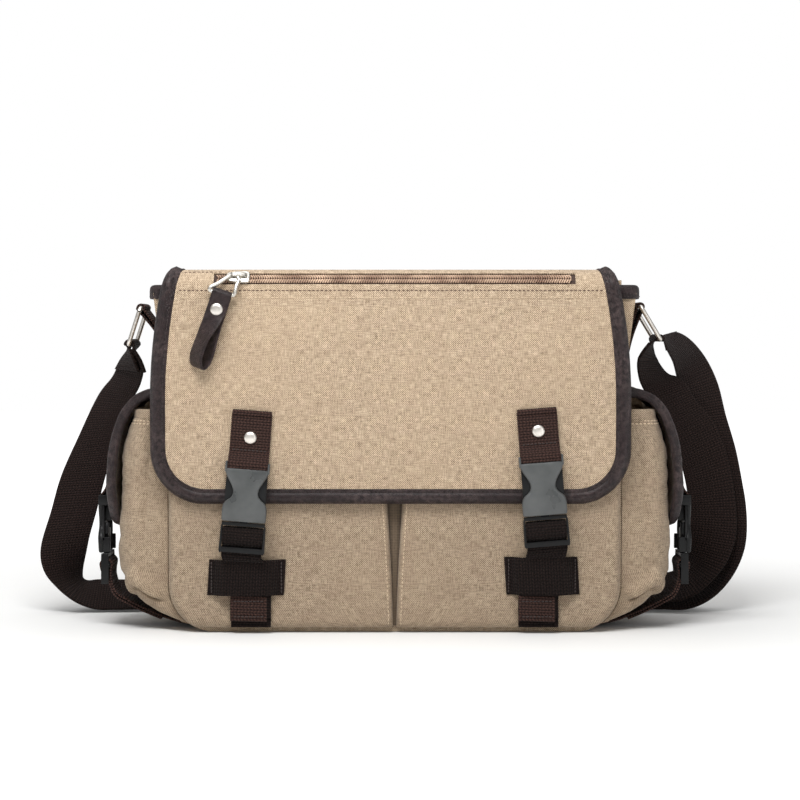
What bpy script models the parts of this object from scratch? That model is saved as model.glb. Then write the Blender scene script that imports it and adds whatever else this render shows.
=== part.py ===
"""A canvas messenger bag with a buckled flap, side pockets and a webbing shoulder strap.

Blender 4.5, +Z up, the front of the bag towards -Y, the origin on the ground under its middle.
Sizes are written in millimetres and scaled to metres when a mesh is made.
"""

import math

import bmesh
import bpy
from mathutils import Vector

MM = 0.001
GAP = 0.3                 # clearance kept between touching pieces

# Body of the bag
CANVAS = 2.2              # a canvas panel with its backing
LOWER_HALF = 171.0        # half width of the body behind the side pockets
UPPER_HALF = 182.0        # half width at the mouth
FLARE_START = 170.0       # height above which the sides lean outwards
MOUTH_Z = 256.0
BACK_TOP_Z = 268.0
CORNER = 35.0             # radius of the body's bottom corners
FRONT_Y = -49.5           # outer face of the front panel
BACK_Y = 52.5             # outer face of the back panel
LINING_GAP = 0.4
LINING = 0.8

# Front pockets
POCKET_Y = -57.5
POCKET_TOP = 150.0
POCKET_BOTTOM = 4.0
POCKET_CLOTH = 2.0

# Side pockets
HEM_Z = 168.0
SIDE_FRONT_Y = -46.0
SIDE_BACK_Y = 48.0
SIDE_CORNER = 16.0

# Main flap
FLAP_SHIFT = -3.0         # the flap sits a little to the left
FOLD_H = 47.0             # distance forward of the fold arc's centre
FOLD_Z = 257.0
FOLD_R = 16.5
FLAP_BOTTOM_Z = 98.0
FLAP_TOP_HALF = 166.0
FLAP_MID_HALF = 179.6
FLAP_CORNER = 41.0
BINDING = 10.0
FLAP_HINGE = (0.0, 54.5, 268.0)
ZIP_HALF = 135.0
ZIP_ANGLE = 54.5          # degrees round the fold from its top to the zip
SLIDER_X = -114.0
EYE_HEIGHT = 4.9          # of the slider's bar, which the puller's eye turns on, above the zip

# Webbing and buckles
WEB = 1.5
WEB_WIDTH = 30.0
BUCKLE_X = 106.5          # where a front buckle's line meets its tab's middle
BUCKLE_PIVOT_Z = 160.0
BUCKLE_TILT = 4.5         # degrees that the front buckles lean outwards at the bottom
FRONT_MOUTH_Z = {-1: 85.5, 1: 90.5}
FRONT_BACK_Y = -65.0      # the plane behind the front buckles
SIDE_BUCKLE_Y = -12.0
SIDE_BUCKLE_X = 217.0     # the plane behind the side buckles
SIDE_MOUTH_Z = 57.5

# Side flaps
SIDE_FLAP_HALF = 32.0
SIDE_FLAP_CORNER = 24.0
SIDE_HINGE = (175.0, 182.0)
SIDE_FLAP_PROFILE = [
    (176, 181.5), (186, 181), (199, 174), (209, 158), (215, 134), (216.5, 108), (215, 92), (213, 78),
]

# Rings and the shoulder strap
RING_Y = 8.0
WIRE = 1.7
RING_HALF = 21.7
RING_DROP = 29.5
RING_CORNER = 3.2
RING_TOP = {-1: (196.0, 245.0, 18.0), 1: (189.5, 246.0, 31.0)}   # distance out, height, degrees of swing
STRAP_WIDTH = 38.0
STRAP = 1.8

# The strap's middle line and the direction across it, from the left ring round behind the bag
# to the right ring
STRAP_ROUTE = [
    ((-206.5, 7.5, 212.0), (7, -37, 3)), ((-208, 20, 200), (24, -32, -2)), ((-213, 29, 188), (27, -29, -5)),
    ((-223, 38, 174), (32, -24, -3)), ((-238, 48, 144), (37, -16, 5)), ((-251, 53, 111), (41, -6, 3)),
    ((-259, 53, 82), (41, -2, 3)), ((-266, 52, 57), (38, 8, 3)), ((-268, 57, 37), (27, 24, 2)),
    ((-264, 62, 24), (14, 32, 4)), ((-255, 65, 16), (4, 34, 12)), ((-242, 68, 13), (-1, 31, 19)),
    ((-224, 70, 12.5), (0, 31, 19)), ((-190, 74, 12), (0, 32, 18)), ((-130, 79, 9), (0, 35, 11)),
    ((-60, 82, 7), (0, 37, 7)), ((0, 83, 7), (0, 37, 7)), ((60, 82, 7), (0, 37, 7)),
    ((130, 79, 9), (0, 35, 11)), ((190, 74, 12), (0, 32, 18)), ((218, 71, 12.5), (0, 31, 19)),
    ((236, 70, 13), (-2, 31, 19)), ((250, 68, 17), (-9, 34, 10)), ((260, 65, 29), (-17, 31, 4)),
    ((265, 62, 47), (-27, 20, -1)), ((266, 61, 67), (-35, 10, 1)), ((265, 61, 88), (-40, 2, 1)),
    ((262, 60, 105), (-40, 0, 0)), ((257, 59, 131), (-38, -4, 0)), ((250, 57, 157), (-37, -13, -4)),
    ((245, 55, 180), (-34, -18, -8)), ((238, 50, 198), (-28, -24, -13)), ((228, 31, 211), (-18, -28, -16)),
    ((218, 17, 219), (-11, -32, -14)), ((210, 8, 222), (-5, -37, -3)),
]
# The length that comes back from the right ring and is sewn to the strap slider
RETURN_ROUTE = [
    ((200, 8, 215.5), (-7, -37, 6)), ((198, 10, 205), (-19, -33, 2)), ((203, 17, 193), (-27, -29, -2)),
    ((213, 28.5, 184), (-32, -17, -9)), ((225, 36, 164), (-34, -14, -15)), ((237, 42, 149), (-36, -7, -17)),
    ((246, 47, 130), (-38, -3, -17)), ((252, 49, 109), (-40, -1, -10)), ((255, 51, 88), (-40, 0, -2)),
    ((256, 52, 69), (-38, 6, 3)), ((253, 55, 50), (-29, 19, 6)), ((247, 59, 35), (-17, 28, 10)),
    ((236, 63, 23.5), (-9, 31, 16)), ((222, 66, 19), (-2, 31, 18)), ((205, 68, 18.5), (0, 31, 18)),
    ((180, 71.5, 17), (0, 32, 17)), ((155, 74, 15.5), (0, 33, 15)),
]
STRAP_SLIDER_X = 132.0

# Colours as linear RGB
CANVAS_COLOUR = (0.38, 0.28, 0.18)
LINING_COLOUR = (0.10, 0.08, 0.06)
LEATHER_COLOUR = (0.045, 0.032, 0.032)
WEB_COLOUR = (0.022, 0.013, 0.012)
PLASTIC_COLOUR = (0.02, 0.022, 0.024)
BUCKLE_COLOUR = (0.07, 0.075, 0.08)
SILVER_COLOUR = (0.62, 0.60, 0.56)
ZIP_COLOUR = (0.30, 0.20, 0.13)


def clear_scene():
    for thing in list(bpy.data.objects):
        bpy.data.objects.remove(thing)


def make_material(name, colour, roughness, metallic=0.0):
    material = bpy.data.materials.new(name)
    material.use_nodes = True
    shader = material.node_tree.nodes["Principled BSDF"]
    shader.inputs["Base Color"].default_value = (*colour, 1.0)
    shader.inputs["Roughness"].default_value = roughness
    shader.inputs["Metallic"].default_value = metallic
    material.diffuse_color = (*colour, 1.0)
    return material


def pivot(name, place, parent=None):
    """An empty on a joint's axis, which the pieces of one moving body hang from."""
    empty = bpy.data.objects.new(name, None)
    empty.empty_display_size = 0.02
    bpy.context.scene.collection.objects.link(empty)
    empty.location = Vector(place) * MM
    bpy.context.view_layer.update()
    if parent:
        empty.parent = parent
        empty.matrix_parent_inverse = parent.matrix_world.inverted()
    return empty


def piece(name, shape, material, parent=None, smooth=False):
    """One closed body from (points, faces) in millimetres, with its faces turned outwards."""
    points, faces = shape
    mesh = bpy.data.meshes.new(name)
    bm = bmesh.new()
    corners = [bm.verts.new(Vector(p) * MM) for p in points]
    for face in faces:
        bm.faces.new([corners[i] for i in face])
    bmesh.ops.recalc_face_normals(bm, faces=bm.faces)
    bm.to_mesh(mesh)
    bm.free()
    mesh.materials.append(material)
    if smooth:
        mesh.shade_smooth()
        mesh.set_sharp_from_angle(angle=math.radians(40))
    thing = bpy.data.objects.new(name, mesh)
    bpy.context.scene.collection.objects.link(thing)
    if parent:
        bpy.context.view_layer.update()
        thing.parent = parent
        thing.matrix_parent_inverse = parent.matrix_world.inverted()
    return thing


def fused(name, shapes, cuts, material, parent=None):
    """The union of some shapes, less the cuts."""
    base = piece(name, shapes[0], material)
    tools = []
    for operation, group in (("UNION", shapes[1:]), ("DIFFERENCE", cuts)):
        for number, shape in enumerate(group):
            tool = piece(f"{name}_{operation.lower()}_{number}", shape, material)
            step = base.modifiers.new(tool.name, "BOOLEAN")
            step.operation = operation
            step.object = tool
            step.solver = "EXACT"
            tools.append(tool)
    bpy.context.view_layer.update()
    result = bpy.data.meshes.new_from_object(base.evaluated_get(bpy.context.evaluated_depsgraph_get()))
    base.modifiers.clear()
    base.data = result
    result.name = name
    for tool in tools:
        bpy.data.objects.remove(tool)
    if parent:
        base.parent = parent
        base.matrix_parent_inverse = parent.matrix_world.inverted()
    return base


def grid_faces(rows, columns, start, holes=()):
    return [
        (start + r * columns + c, start + r * columns + c + 1,
         start + (r + 1) * columns + c + 1, start + (r + 1) * columns + c)
        for r in range(rows - 1) for c in range(columns - 1) if (r, c) not in holes
    ]


def shell(outer, inner, holes=()):
    """A sheet of cloth with thickness: two grids of points joined along every free edge."""
    rows, columns = len(outer), len(outer[0])
    count = rows * columns
    points = [p for row in outer for p in row] + [p for row in inner for p in row]
    front = grid_faces(rows, columns, 0, holes)
    faces = front + [tuple(i + count for i in reversed(face)) for face in front]
    edges = {}
    for face in front:
        for a, b in zip(face, face[1:] + face[:1]):
            edges[frozenset((a, b))] = None if frozenset((a, b)) in edges else (a, b)
    faces += [(b, a, a + count, b + count) for a, b in filter(None, edges.values())]
    used = sorted({i for face in faces for i in face})
    number = {old: new for new, old in enumerate(used)}
    return [points[i] for i in used], [tuple(number[i] for i in face) for face in faces]


def loft(rings):
    """A solid skinned over closed rings, with a cap on each end."""
    sides = len(rings[0])
    points = [p for ring in rings for p in ring]
    faces = [
        (r * sides + i, r * sides + (i + 1) % sides, (r + 1) * sides + (i + 1) % sides, (r + 1) * sides + i)
        for r in range(len(rings) - 1) for i in range(sides)
    ]
    last = (len(rings) - 1) * sides
    return points, faces + [tuple(range(sides)), tuple(last + i for i in reversed(range(sides)))]


def slab(outline, low, high, place=lambda a, b, c: (a, c, b)):
    """A flat outline given thickness; place turns (a, b, depth) into a point."""
    return loft([[place(a, b, depth) for a, b in outline] for depth in (low, high)])


def box(low, high, place=lambda *p: p):
    outline = [(low[0], low[1]), (high[0], low[1]), (high[0], high[1]), (low[0], high[1])]
    return slab(outline, low[2], high[2], place)


def arc(centre, radius, start, end, steps):
    return [
        (centre[0] + radius * math.cos(math.radians(start + (end - start) * i / steps)),
         centre[1] + radius * math.sin(math.radians(start + (end - start) * i / steps)))
        for i in range(steps + 1)
    ]


def smooth_route(points, per_span):
    """A Catmull-Rom curve through some points, of any number of coordinates."""
    padded = [points[0], *points, points[-1]]
    route = []
    for i in range(1, len(padded) - 2):
        for step in range(per_span):
            t = step / per_span
            route.append(tuple(
                0.5 * (2 * b + (c - a) * t + (2 * a - 5 * b + 4 * c - d) * t ** 2
                       + (3 * b - a - 3 * c + d) * t ** 3)
                for a, b, c, d in zip(*padded[i - 1:i + 3])
            ))
    return route + [tuple(points[-1])]


def band(centres, across, width, thickness):
    """Flat webbing along a line of middle points, with the direction across it at each one."""
    front, back = [], []
    for i, middle in enumerate(centres):
        middle = Vector(middle)
        along = Vector(centres[min(i + 1, len(centres) - 1)]) - Vector(centres[max(i - 1, 0)])
        side = Vector(across[i]) if isinstance(across, list) else Vector(across)
        side = side.normalized()
        normal = along.cross(side).normalized()
        for row, sign in ((front, 0.5), (back, -0.5)):
            row.append([middle + side * (k * width / 2) + normal * (sign * thickness) for k in (-1, 1)])
    return shell(front, back)


def tube(route, radius, sides, closed=False):
    """A round wire along a route."""
    rings = []
    count = len(route)
    for i, middle in enumerate(route):
        ahead = route[(i + 1) % count] if closed else route[min(i + 1, count - 1)]
        behind = route[i - 1] if closed else route[max(i - 1, 0)]
        along = (Vector(ahead) - Vector(behind)).normalized()
        level = Vector((0.31, 0.17, 0.93)).cross(along).normalized()
        upright = along.cross(level)
        rings.append([
            Vector(middle) + (level * math.cos(a) + upright * math.sin(a)) * radius
            for a in (2 * math.pi * k / sides for k in range(sides))
        ])
    if not closed:
        return loft(rings)
    points = [p for ring in rings for p in ring]
    faces = []
    for r in range(count):
        for k in range(sides):
            here, there = r * sides, (r + 1) % count * sides
            faces.append((here + k, here + (k + 1) % sides, there + (k + 1) % sides, there + k))
    return points, faces


# Body ---------------------------------------------------------------------------------------

def body_half(z):
    """Half width of the body at a height."""
    if z <= FLARE_START:
        return LOWER_HALF
    share = (z - FLARE_START) / (MOUTH_Z - FLARE_START)
    return LOWER_HALF + (UPPER_HALF - LOWER_HALF) * min(share, 1.0)


def body_half_path(inset, top):
    """The right half of the body's outline, as (x, z) from the top down to the middle of the bottom."""
    radius = CORNER - inset
    heights = [top] + [z for z in (MOUTH_Z, 213.0, FLARE_START) if z < top - 1]
    sides = [(body_half(z) - inset, z) for z in heights]
    corner = arc((LOWER_HALF - CORNER, CORNER), radius, 0, -90, 7)
    return sides + corner


def body_outline(inset, top):
    right = body_half_path(inset, top)
    return right + [(-x, z) for x, z in reversed(right)]


def make_body(canvas, lining, leather):
    piece("front_panel", slab(body_outline(0.0, MOUTH_Z), FRONT_Y, FRONT_Y + CANVAS), canvas)
    piece("back_panel", slab(body_outline(0.0, BACK_TOP_Z), BACK_Y - CANVAS, BACK_Y), canvas)
    ends = (FRONT_Y + CANVAS + GAP, BACK_Y - CANVAS - GAP)
    strips = [
        [[(x, y, z) for y in ends] for x, z in body_outline(inset, MOUTH_Z)] for inset in (0.0, CANVAS)
    ]
    piece("gusset", shell(*strips), canvas)
    outer = CANVAS + LINING_GAP
    depth = (ends[0] + LINING_GAP, ends[1] - LINING_GAP)
    fused(
        "lining",
        [slab(body_outline(outer, MOUTH_Z - 4), *depth)],
        [slab(body_outline(outer + LINING, MOUTH_Z + 10), depth[0] + LINING, depth[1] - LINING)],
        lining,
    )
    half_in, half_out, front_in, front_out = UPPER_HALF - 3.5, UPPER_HALF + 2.5, -46.5, -51.0
    rear = BACK_Y - CANVAS - 2 * GAP
    plan = [((-half_out, rear), (-half_in, rear)), ((-half_out, front_out), (-half_in, front_in)),
            ((half_out, front_out), (half_in, front_in)), ((half_out, rear), (half_in, rear))]
    levels = [[[(x, y, z) for x, y in pair] for pair in plan] for z in (MOUTH_Z + 6.5, MOUTH_Z + GAP)]
    piece("opening_binding", shell(*levels), leather)


def front_pocket_outline(side, inset, top):
    """One front pocket: straight beside the gap in the middle, following the body on the outside."""
    lowest = POCKET_BOTTOM + inset
    outer = [(x, max(z, lowest)) for x, z in body_half_path(0.6 + inset, POCKET_TOP)]
    outer[0] = (outer[0][0], top)
    inner = [(0.6 + inset, lowest), (6.0 + inset, top)]
    return [(side * x, z) for x, z in outer + inner]


def make_front_pockets(canvas):
    back = FRONT_Y - GAP
    for side, name in ((-1, "left"), (1, "right")):
        fused(
            f"{name}_front_pocket",
            [slab(front_pocket_outline(side, 0.0, POCKET_TOP), POCKET_Y, back)],
            [slab(front_pocket_outline(side, POCKET_CLOTH, POCKET_TOP + 10),
                  POCKET_Y + POCKET_CLOTH, back + 5)],
            canvas,
        )


def side_pocket_ring(side, outer_x, z, inset):
    """The side pocket's outline in plan at one height."""
    inner_x = LOWER_HALF + GAP + 0.3 + inset
    outer_x = outer_x - inset
    radius = min(SIDE_CORNER - inset, (outer_x - inner_x) * 0.8)
    front, back = SIDE_FRONT_Y + inset, SIDE_BACK_Y - inset
    corners = (arc((outer_x - radius, front + radius), radius, -90, 0, 4)
               + arc((outer_x - radius, back - radius), radius, 0, 90, 4))
    return [(side * x, y, z) for x, y in [(inner_x, front), *corners, (inner_x, back)]]


def make_side_pockets(canvas):
    lowest = 14.0
    levels = [(lowest, 178), (20, 190), (30, 201), (45, 209.5), (60, 211), (80, 206.5), (120, 204),
              (HEM_Z, 194)]
    for side, name in ((-1, "left"), (1, "right")):
        outside = [side_pocket_ring(side, x, z, 0.0) for z, x in levels]
        inside = [side_pocket_ring(side, x, max(z, lowest + POCKET_CLOTH), POCKET_CLOTH) for z, x in levels]
        inside.append([(x, y, HEM_Z + 8) for x, y, _ in inside[-1]])
        fused(f"{name}_side_pocket", [loft(outside)], [loft(inside)], canvas)


# Flaps --------------------------------------------------------------------------------------

class Flap:
    """A bound flap that hangs over a fold: u runs across it, s down its outer face, depth into it."""

    def __init__(self, profile, half, corner, place):
        self.points = [Vector(p) for p in profile]
        self.reach = [0.0]
        for a, b in zip(self.points, self.points[1:]):
            self.reach.append(self.reach[-1] + (b - a).length)
        self.length = self.reach[-1]
        self.half = half
        self.corner = corner
        self.place = place

    def point(self, u, s, depth):
        s = min(max(s, 0.0), self.length)
        i = max(k for k in range(len(self.points) - 1) if self.reach[k] <= s + 1e-9)
        a, b = self.points[i], self.points[i + 1]
        share = (s - self.reach[i]) / (self.reach[i + 1] - self.reach[i])
        inward = self.inward(i).lerp(self.inward(i + 1), share).normalized()
        h, z = a.lerp(b, share) + inward * depth
        return self.place(u, h, z)

    def inward(self, i):
        along = self.points[min(i + 1, len(self.points) - 1)] - self.points[max(i - 1, 0)]
        return Vector((along.y, -along.x)).normalized()

    def half_at(self, s, inset):
        """Half width of the flap at s, with its edge moved in."""
        start = self.length - self.corner
        if s <= start:
            return self.half(s) - inset
        centre = self.half(start) - self.corner
        radius = self.corner - inset
        return centre + math.sqrt(max(radius ** 2 - (s - start) ** 2, 0.0))

    def panel(self, rows, inset, depths, column, holes=()):
        """The cloth inside the binding; column is where its two inner columns of points stand."""
        start, radius = self.length - self.corner, self.corner - inset
        rows = rows + [start + radius * math.sin(math.radians(a)) for a in (0, 22, 44, 66, 82, 90)]
        sheets = []
        for depth in depths:
            grid = []
            for s in rows:
                half = self.half_at(s, inset)
                grid.append([self.point(u, s, depth) for u in (-half, -column, column, half)])
            sheets.append(grid)
        return shell(*sheets, holes)

    def edge(self, rows, inset):
        """The rim from the top left, round the bottom, to the top right, as (u, s)."""
        start, radius = self.length - self.corner, self.corner - inset
        left = [(-(self.half(s) - inset), s) for s in rows]
        centre = self.half(start) - self.corner
        turn = [(centre + radius * math.cos(math.radians(a)), start + radius * math.sin(math.radians(a)))
                for a in range(0, 91, 15)]
        left += [(-u, s) for u, s in turn]
        return left + [(-u, s) for u, s in reversed(left)]

    def binding(self, rows, inner, depths):
        edges = self.edge(rows, 0.0), self.edge(rows, inner)
        return shell(*[
            [[self.point(u, s, depth) for u, s in pair] for pair in zip(*edges)] for depth in depths
        ])


def main_flap_half(s):
    """The flap widens from its top corners to its middle height."""
    share = min(s / 110.0, 1.0)
    return FLAP_TOP_HALF + (FLAP_MID_HALF - FLAP_TOP_HALF) * (1 - (1 - share) ** 2)


def make_flap(parts, canvas, lining, leather):
    fold = [(FOLD_H + FOLD_R * math.sin(math.radians(a)), FOLD_Z + FOLD_R * math.cos(math.radians(a)))
            for a in range(0, 91, 10)]
    flap = Flap(fold + [(FOLD_H + FOLD_R, FLAP_BOTTOM_Z)], main_flap_half, FLAP_CORNER,
                lambda u, h, z: (FLAP_SHIFT + u, -h, z))
    zip_s = FOLD_R * math.radians(ZIP_ANGLE)
    slot = (zip_s - 5.5, zip_s + 5.5)
    arc_rows = [0.0, 4.9, slot[0], zip_s, slot[1], 25.9]
    straight_rows = [60.0, 110.0]
    rows = arc_rows + straight_rows
    piece("flap_front_panel", flap.panel(rows, BINDING + GAP, (0.0, CANVAS), ZIP_HALF, {(2, 1), (3, 1)}),
          canvas, parts["flap_front"])
    piece("flap_lining", flap.panel(rows, BINDING + GAP, (3.4, 4.4), ZIP_HALF), lining, parts["flap_front"])
    piece("flap_binding", flap.binding(rows, BINDING, (-0.8, 5.0)), leather, parts["flap_front"])

    top = FOLD_Z + FOLD_R
    front, rear = -FOLD_H + 0.9, BACK_Y - 2.0
    half = FLAP_TOP_HALF - BINDING - GAP
    piece("flap_rear_panel", box((FLAP_SHIFT - half, front, top - CANVAS), (FLAP_SHIFT + half, rear, top)),
          canvas, parts["flap_top"])
    for side, name in ((-1, "left"), (1, "right")):
        edges = sorted((FLAP_SHIFT + side * FLAP_TOP_HALF, FLAP_SHIFT + side * (FLAP_TOP_HALF - BINDING)))
        piece(f"{name}_flap_top_binding", box((edges[0], front, top - 4.0), (edges[1], rear, top + 0.8)),
              leather, parts["flap_top"])
    return flap, zip_s


def make_zip(parts, flap, zip_s, tape, metal, leather):
    def strip(half_x, s0, s1, depths):
        steps = [s0 + (s1 - s0) * i / 4 for i in range(5)]
        ends = (-half_x - FLAP_SHIFT, half_x - FLAP_SHIFT)
        return shell(*[[[flap.point(u, s, d) for u in ends] for s in steps] for d in depths])

    cloth = strip(ZIP_HALF + 4, zip_s - 10.0, zip_s + 8.5, (2.5, 3.1))
    teeth = strip(ZIP_HALF - 4, zip_s - 3.0, zip_s + 3.0, (-0.2, 2.2))
    piece("zip_tape", cloth, tape, parts["flap_front"])
    piece("zip_teeth", teeth, tape, parts["flap_front"])
    make_slider(parts, metal)
    make_puller(parts, metal, leather)


def on_zip(along, across, out):
    """A point over the zip where the slider stands: along it to the right, up the slope, and outwards."""
    angle = math.radians(ZIP_ANGLE)
    outwards = Vector((0, -math.sin(angle), math.cos(angle)))
    upwards = Vector((0, math.cos(angle), math.sin(angle)))
    seat = Vector((SLIDER_X + along, -FOLD_H, FOLD_Z)) + outwards * FOLD_R
    return seat + upwards * across + outwards * out


def make_slider(parts, metal):
    """A plate with a raised bar on two posts."""
    outline = [(-6, -3.4), (-3.5, -4.8), (4.5, -4.8), (6.5, -2.0),
               (6.5, 2.0), (4.5, 4.8), (-3.5, 4.8), (-6, 3.4)]
    posts = [box((along, -1.0, 2.0), (along + 1.2, 1.0, EYE_HEIGHT + 0.6), on_zip) for along in (-4.6, 3.4)]
    bar = box((-4.6, -0.6, EYE_HEIGHT - 0.6), (4.6, 0.6, EYE_HEIGHT + 0.6), on_zip)
    fused("zip_slider", [slab(outline, 0.6, 2.4, on_zip), *posts, bar], [], metal, parts["zip_slider"])


def make_puller(parts, metal, leather):
    """An eye round the slider's bar and a flat arm, with a looped leather tab sewn round the arm's end."""
    axis = on_zip(0, 0, EYE_HEIGHT)
    eye = [axis + Vector((0, a, b)) for a, b in arc((0, 0), 1.6, 0, 330, 11)]
    tab_top, tab_end = Vector((-127.0, -69.4, 259.0)), Vector((-147.5, -69.4, 200.5))
    lean = (tab_end - tab_top).normalized()
    across = Vector((0, -1, 0)).cross(lean).normalized()
    arm = [axis + Vector(p) for p in ((0.3, -2.5, 0.6), (0.0, -3.3, -2.0), (-4.0, -4.4, -6.5))]
    arm = smooth_route([tuple(p) for p in (*arm, tab_top + lean * -0.5)], 3)
    shapes = [tube(eye, 0.5, 8, closed=True), band(arm, across, 4.4, 1.8)]
    fused("zip_puller", shapes, [], metal, parts["zip_puller"])

    loop = [(2.0, -1.1), (20.0, -1.25), (44.0, -3.1), (56.0, -2.9), (61.5, -0.2), (61.0, 2.3), (56.0, 3.4),
            (44.0, 2.7), (20.0, 1.1), (2.0, 1.1)]
    route = smooth_route([tuple(tab_top + lean * a + Vector((0, b, 0))) for a, b in loop], 3)
    piece("pull_tab", band(route, across, 15.5, 1.7), leather, parts["zip_puller"], smooth=True)
    centre = tab_top + lean * 13.5 + Vector((0, -2.35, 0))
    rivet_head("pull_tab_rivet", centre, Vector((0, -1, 0)), 4.5, metal, parts["zip_puller"])


def rivet_head(name, centre, outward, radius, material, parent=None):
    """A low domed rivet cap."""
    side = outward.orthogonal().normalized()
    up = outward.cross(side)
    rings = []
    for share, height in ((1.0, 0.0), (1.0, 0.5), (0.78, 1.1), (0.4, 1.45)):
        rings.append([
            centre + (side * math.cos(a) + up * math.sin(a)) * radius * share + outward * height
            for a in (2 * math.pi * k / 16 for k in range(16))
        ])
    piece(name, loft(rings), material, parent, smooth=True)


# Buckles ------------------------------------------------------------------------------------

class BucklePlace:
    """A buckle's own axes: u across, v up the webbing from the mouth, w out from the cloth."""

    def __init__(self, mouth, across, up, out):
        self.mouth, self.across, self.up, self.out = Vector(mouth), Vector(across), Vector(up), Vector(out)

    def __call__(self, u, v, w):
        return self.mouth + self.across * u + self.up * v + self.out * w


def front_buckle_place(side):
    lean = math.radians(BUCKLE_TILT)
    up = (-side * math.sin(lean), 0, math.cos(lean))
    drop = BUCKLE_PIVOT_Z - FRONT_MOUTH_Z[side]
    return BucklePlace((side * (BUCKLE_X + drop * math.tan(lean)), FRONT_BACK_Y, FRONT_MOUTH_Z[side]),
                       (math.cos(lean), 0, side * math.sin(lean)), up, (0, -1, 0))


def side_buckle_place(side):
    mouth = (side * SIDE_BUCKLE_X, SIDE_BUCKLE_Y, SIDE_MOUTH_Z)
    return BucklePlace(mouth, (0, side, 0), (0, 0, 1), (side, 0, 0))


def mirrored(half):
    return half + [(-u, v) for u, v in reversed(half)]


def make_female(name, place, material, parent):
    """Open at the back, so that its flap can be lifted off the prongs."""
    half = [(15.2, 0), (15.2, 12), (13.2, 15.5), (9.8, 20), (9.8, 26), (13, 30), (16.8, 32), (16.8, 34)]
    cheeks = [box((u, 31, 1.0), (u + 1.5, 43, 9.4), place) for u in (15.35, -16.85)]
    rails = [box((u, 0.4, 1.0), (u + 1.9, 12, 7.4), place) for u in (13.2, -15.1)]
    fused(
        name,
        [slab(mirrored(half), 7.0, 10.0, place), *rails, box((-9.4, 25, 1.0), (9.4, 31, 7.4), place), *cheeks,
         box((-16, 39, 3.0), (16, 42.5, 6.5), place)],
        [], material, parent,
    )


def make_male(name, place, material, parent):
    rail = [(15.4, -0.4), (16.6, -4), (17.0, -22.5), (15.9, -24), (15.4, -23.6)]
    rails = [slab([(side * u, v) for u, v in rail], 2.2, 8.0, place) for side in (-1, 1)]
    bars = [box((-16, -3.4, 2.5), (16, -0.9, 7.7), place), box((-16, -11.9, 2.8), (16, -8.7, 5.6), place),
            box((-15.8, -23.4, 4.2), (15.8, -19.6, 7.6), place)]
    fused(name, [*rails, *bars, box((-3, -2, 3.2), (3, 18, 6.2), place)], [], material, parent)


def make_prong(name, side, place, material, parent):
    outline = [(8, 0), (11.8, 0), (11.6, 13), (12.8, 14.5), (12.8, 18), (10.5, 23), (8.2, 23), (7.6, 15)]
    piece(name, slab([(side * u, v) for u, v in outline], 2.8, 6.4, place), material, parent)


def male_loop():
    """The webbing's way through the male half, as (v, w): up behind, over the middle and back down."""
    turn = [(-10.2 + a, 4.2 + b) for a, b in arc((0, 0), 3.4, -90, 90, 6)]
    fall = [(-13.5, 7.5), (-16.2, 5.8), (-18.4, 3.4), (-20.5, 2.8), (-27, 2.9)]
    return [(-27, 0.8), (-20, 0.8), (-13.5, 0.8), *turn, *fall]


def make_buckle(prefix, place, parts, materials, flap_part):
    face, plastic = materials["buckle"], materials["plastic"]
    make_female(f"{prefix}_female_buckle", place, face, parts[flap_part])
    make_male(f"{prefix}_male_buckle", place, plastic, parts[f"{prefix}_male"])
    for side, letter in ((-1, "a"), (1, "b")):
        make_prong(f"{prefix}_prong_{letter}", side, place, plastic, parts[f"{prefix}_prong_{letter}"])


def tab_route(high_front, high_back):
    """A tab's webbing, as (v, w): down in front, round the female half's bar, and up behind."""
    turn = [(40.75 + b, 4.75 + a) for a, b in arc((0, 0), 3.55, 0, -180, 6)]
    return [*high_front, (44, 8.0), *turn, (44, 1.2), *high_back]


def make_front_webbing(side, name, place, parts, materials):
    web, metal = materials["web"], materials["silver"]
    top = (BUCKLE_PIVOT_Z + 6.5 - FRONT_MOUTH_Z[side]) + (1.5 if side > 0 else 0)
    route = tab_route([(top, 1.4), (56, 1.4), (50, 3.4)], [(50, -0.4), (56, -0.45), (top - 1, -0.45)])
    piece(f"{name}_flap_tab", band([place(0, v, w) for v, w in route], place.across, WEB_WIDTH, WEB),
          web, parts["flap_front"])
    rivet_head(f"{name}_tab_rivet", place(0, 62.5, 2.6), place.out, 4.6, metal, parts["flap_front"])

    low_x, inner_y, outer_y = side * 108.0, -58.95, -60.95
    level = Vector((1, 0, 0))
    climb = [(low_x, inner_y, 5.0), (low_x, inner_y, 30.0), (side * 111, inner_y, 51.0)]
    fall = [(side * 111, outer_y, 49.5), (low_x, outer_y, 30.0), (low_x, outer_y, 12.0)]
    loop = [tuple(place(0, v, w)) for v, w in male_loop()]
    across = [level] * len(climb) + [place.across] * len(loop) + [level] * len(fall)
    piece(f"{name}_front_strap", band(climb + loop + fall, across, WEB_WIDTH, WEB), web)

    low, high, x_in, x_out = (29.0, 48.5, 82.5, 140.0) if side < 0 else (29.5, 48.5, 83.0, 138.0)
    inner, outer, foot = -62.6, -64.2, POCKET_Y - GAP
    left, right = x_in + 9.5, x_out - 9.0
    outline = [(x_in, foot), (x_in, outer), (x_out, outer), (x_out, foot), (right, foot), (right, inner),
               (left, inner), (left, foot)]
    keeper = [[(side * x, y, z) for x, y in outline] for z in (low, high)]
    piece(f"{name}_keeper", keeper_block(keeper), web)


def keeper_block(rings):
    """The keeper's bridge over the webbing, with its outline cut into flat quads so that none is concave."""
    points = [p for ring in rings for p in ring]
    caps = [(0, 1, 6, 7), (1, 2, 5, 6), (2, 3, 4, 5)]
    faces = [(i, (i + 1) % 8, (i + 1) % 8 + 8, i + 8) for i in range(8)]
    return points, faces + caps + [tuple(i + 8 for i in reversed(cap)) for cap in caps]


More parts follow.
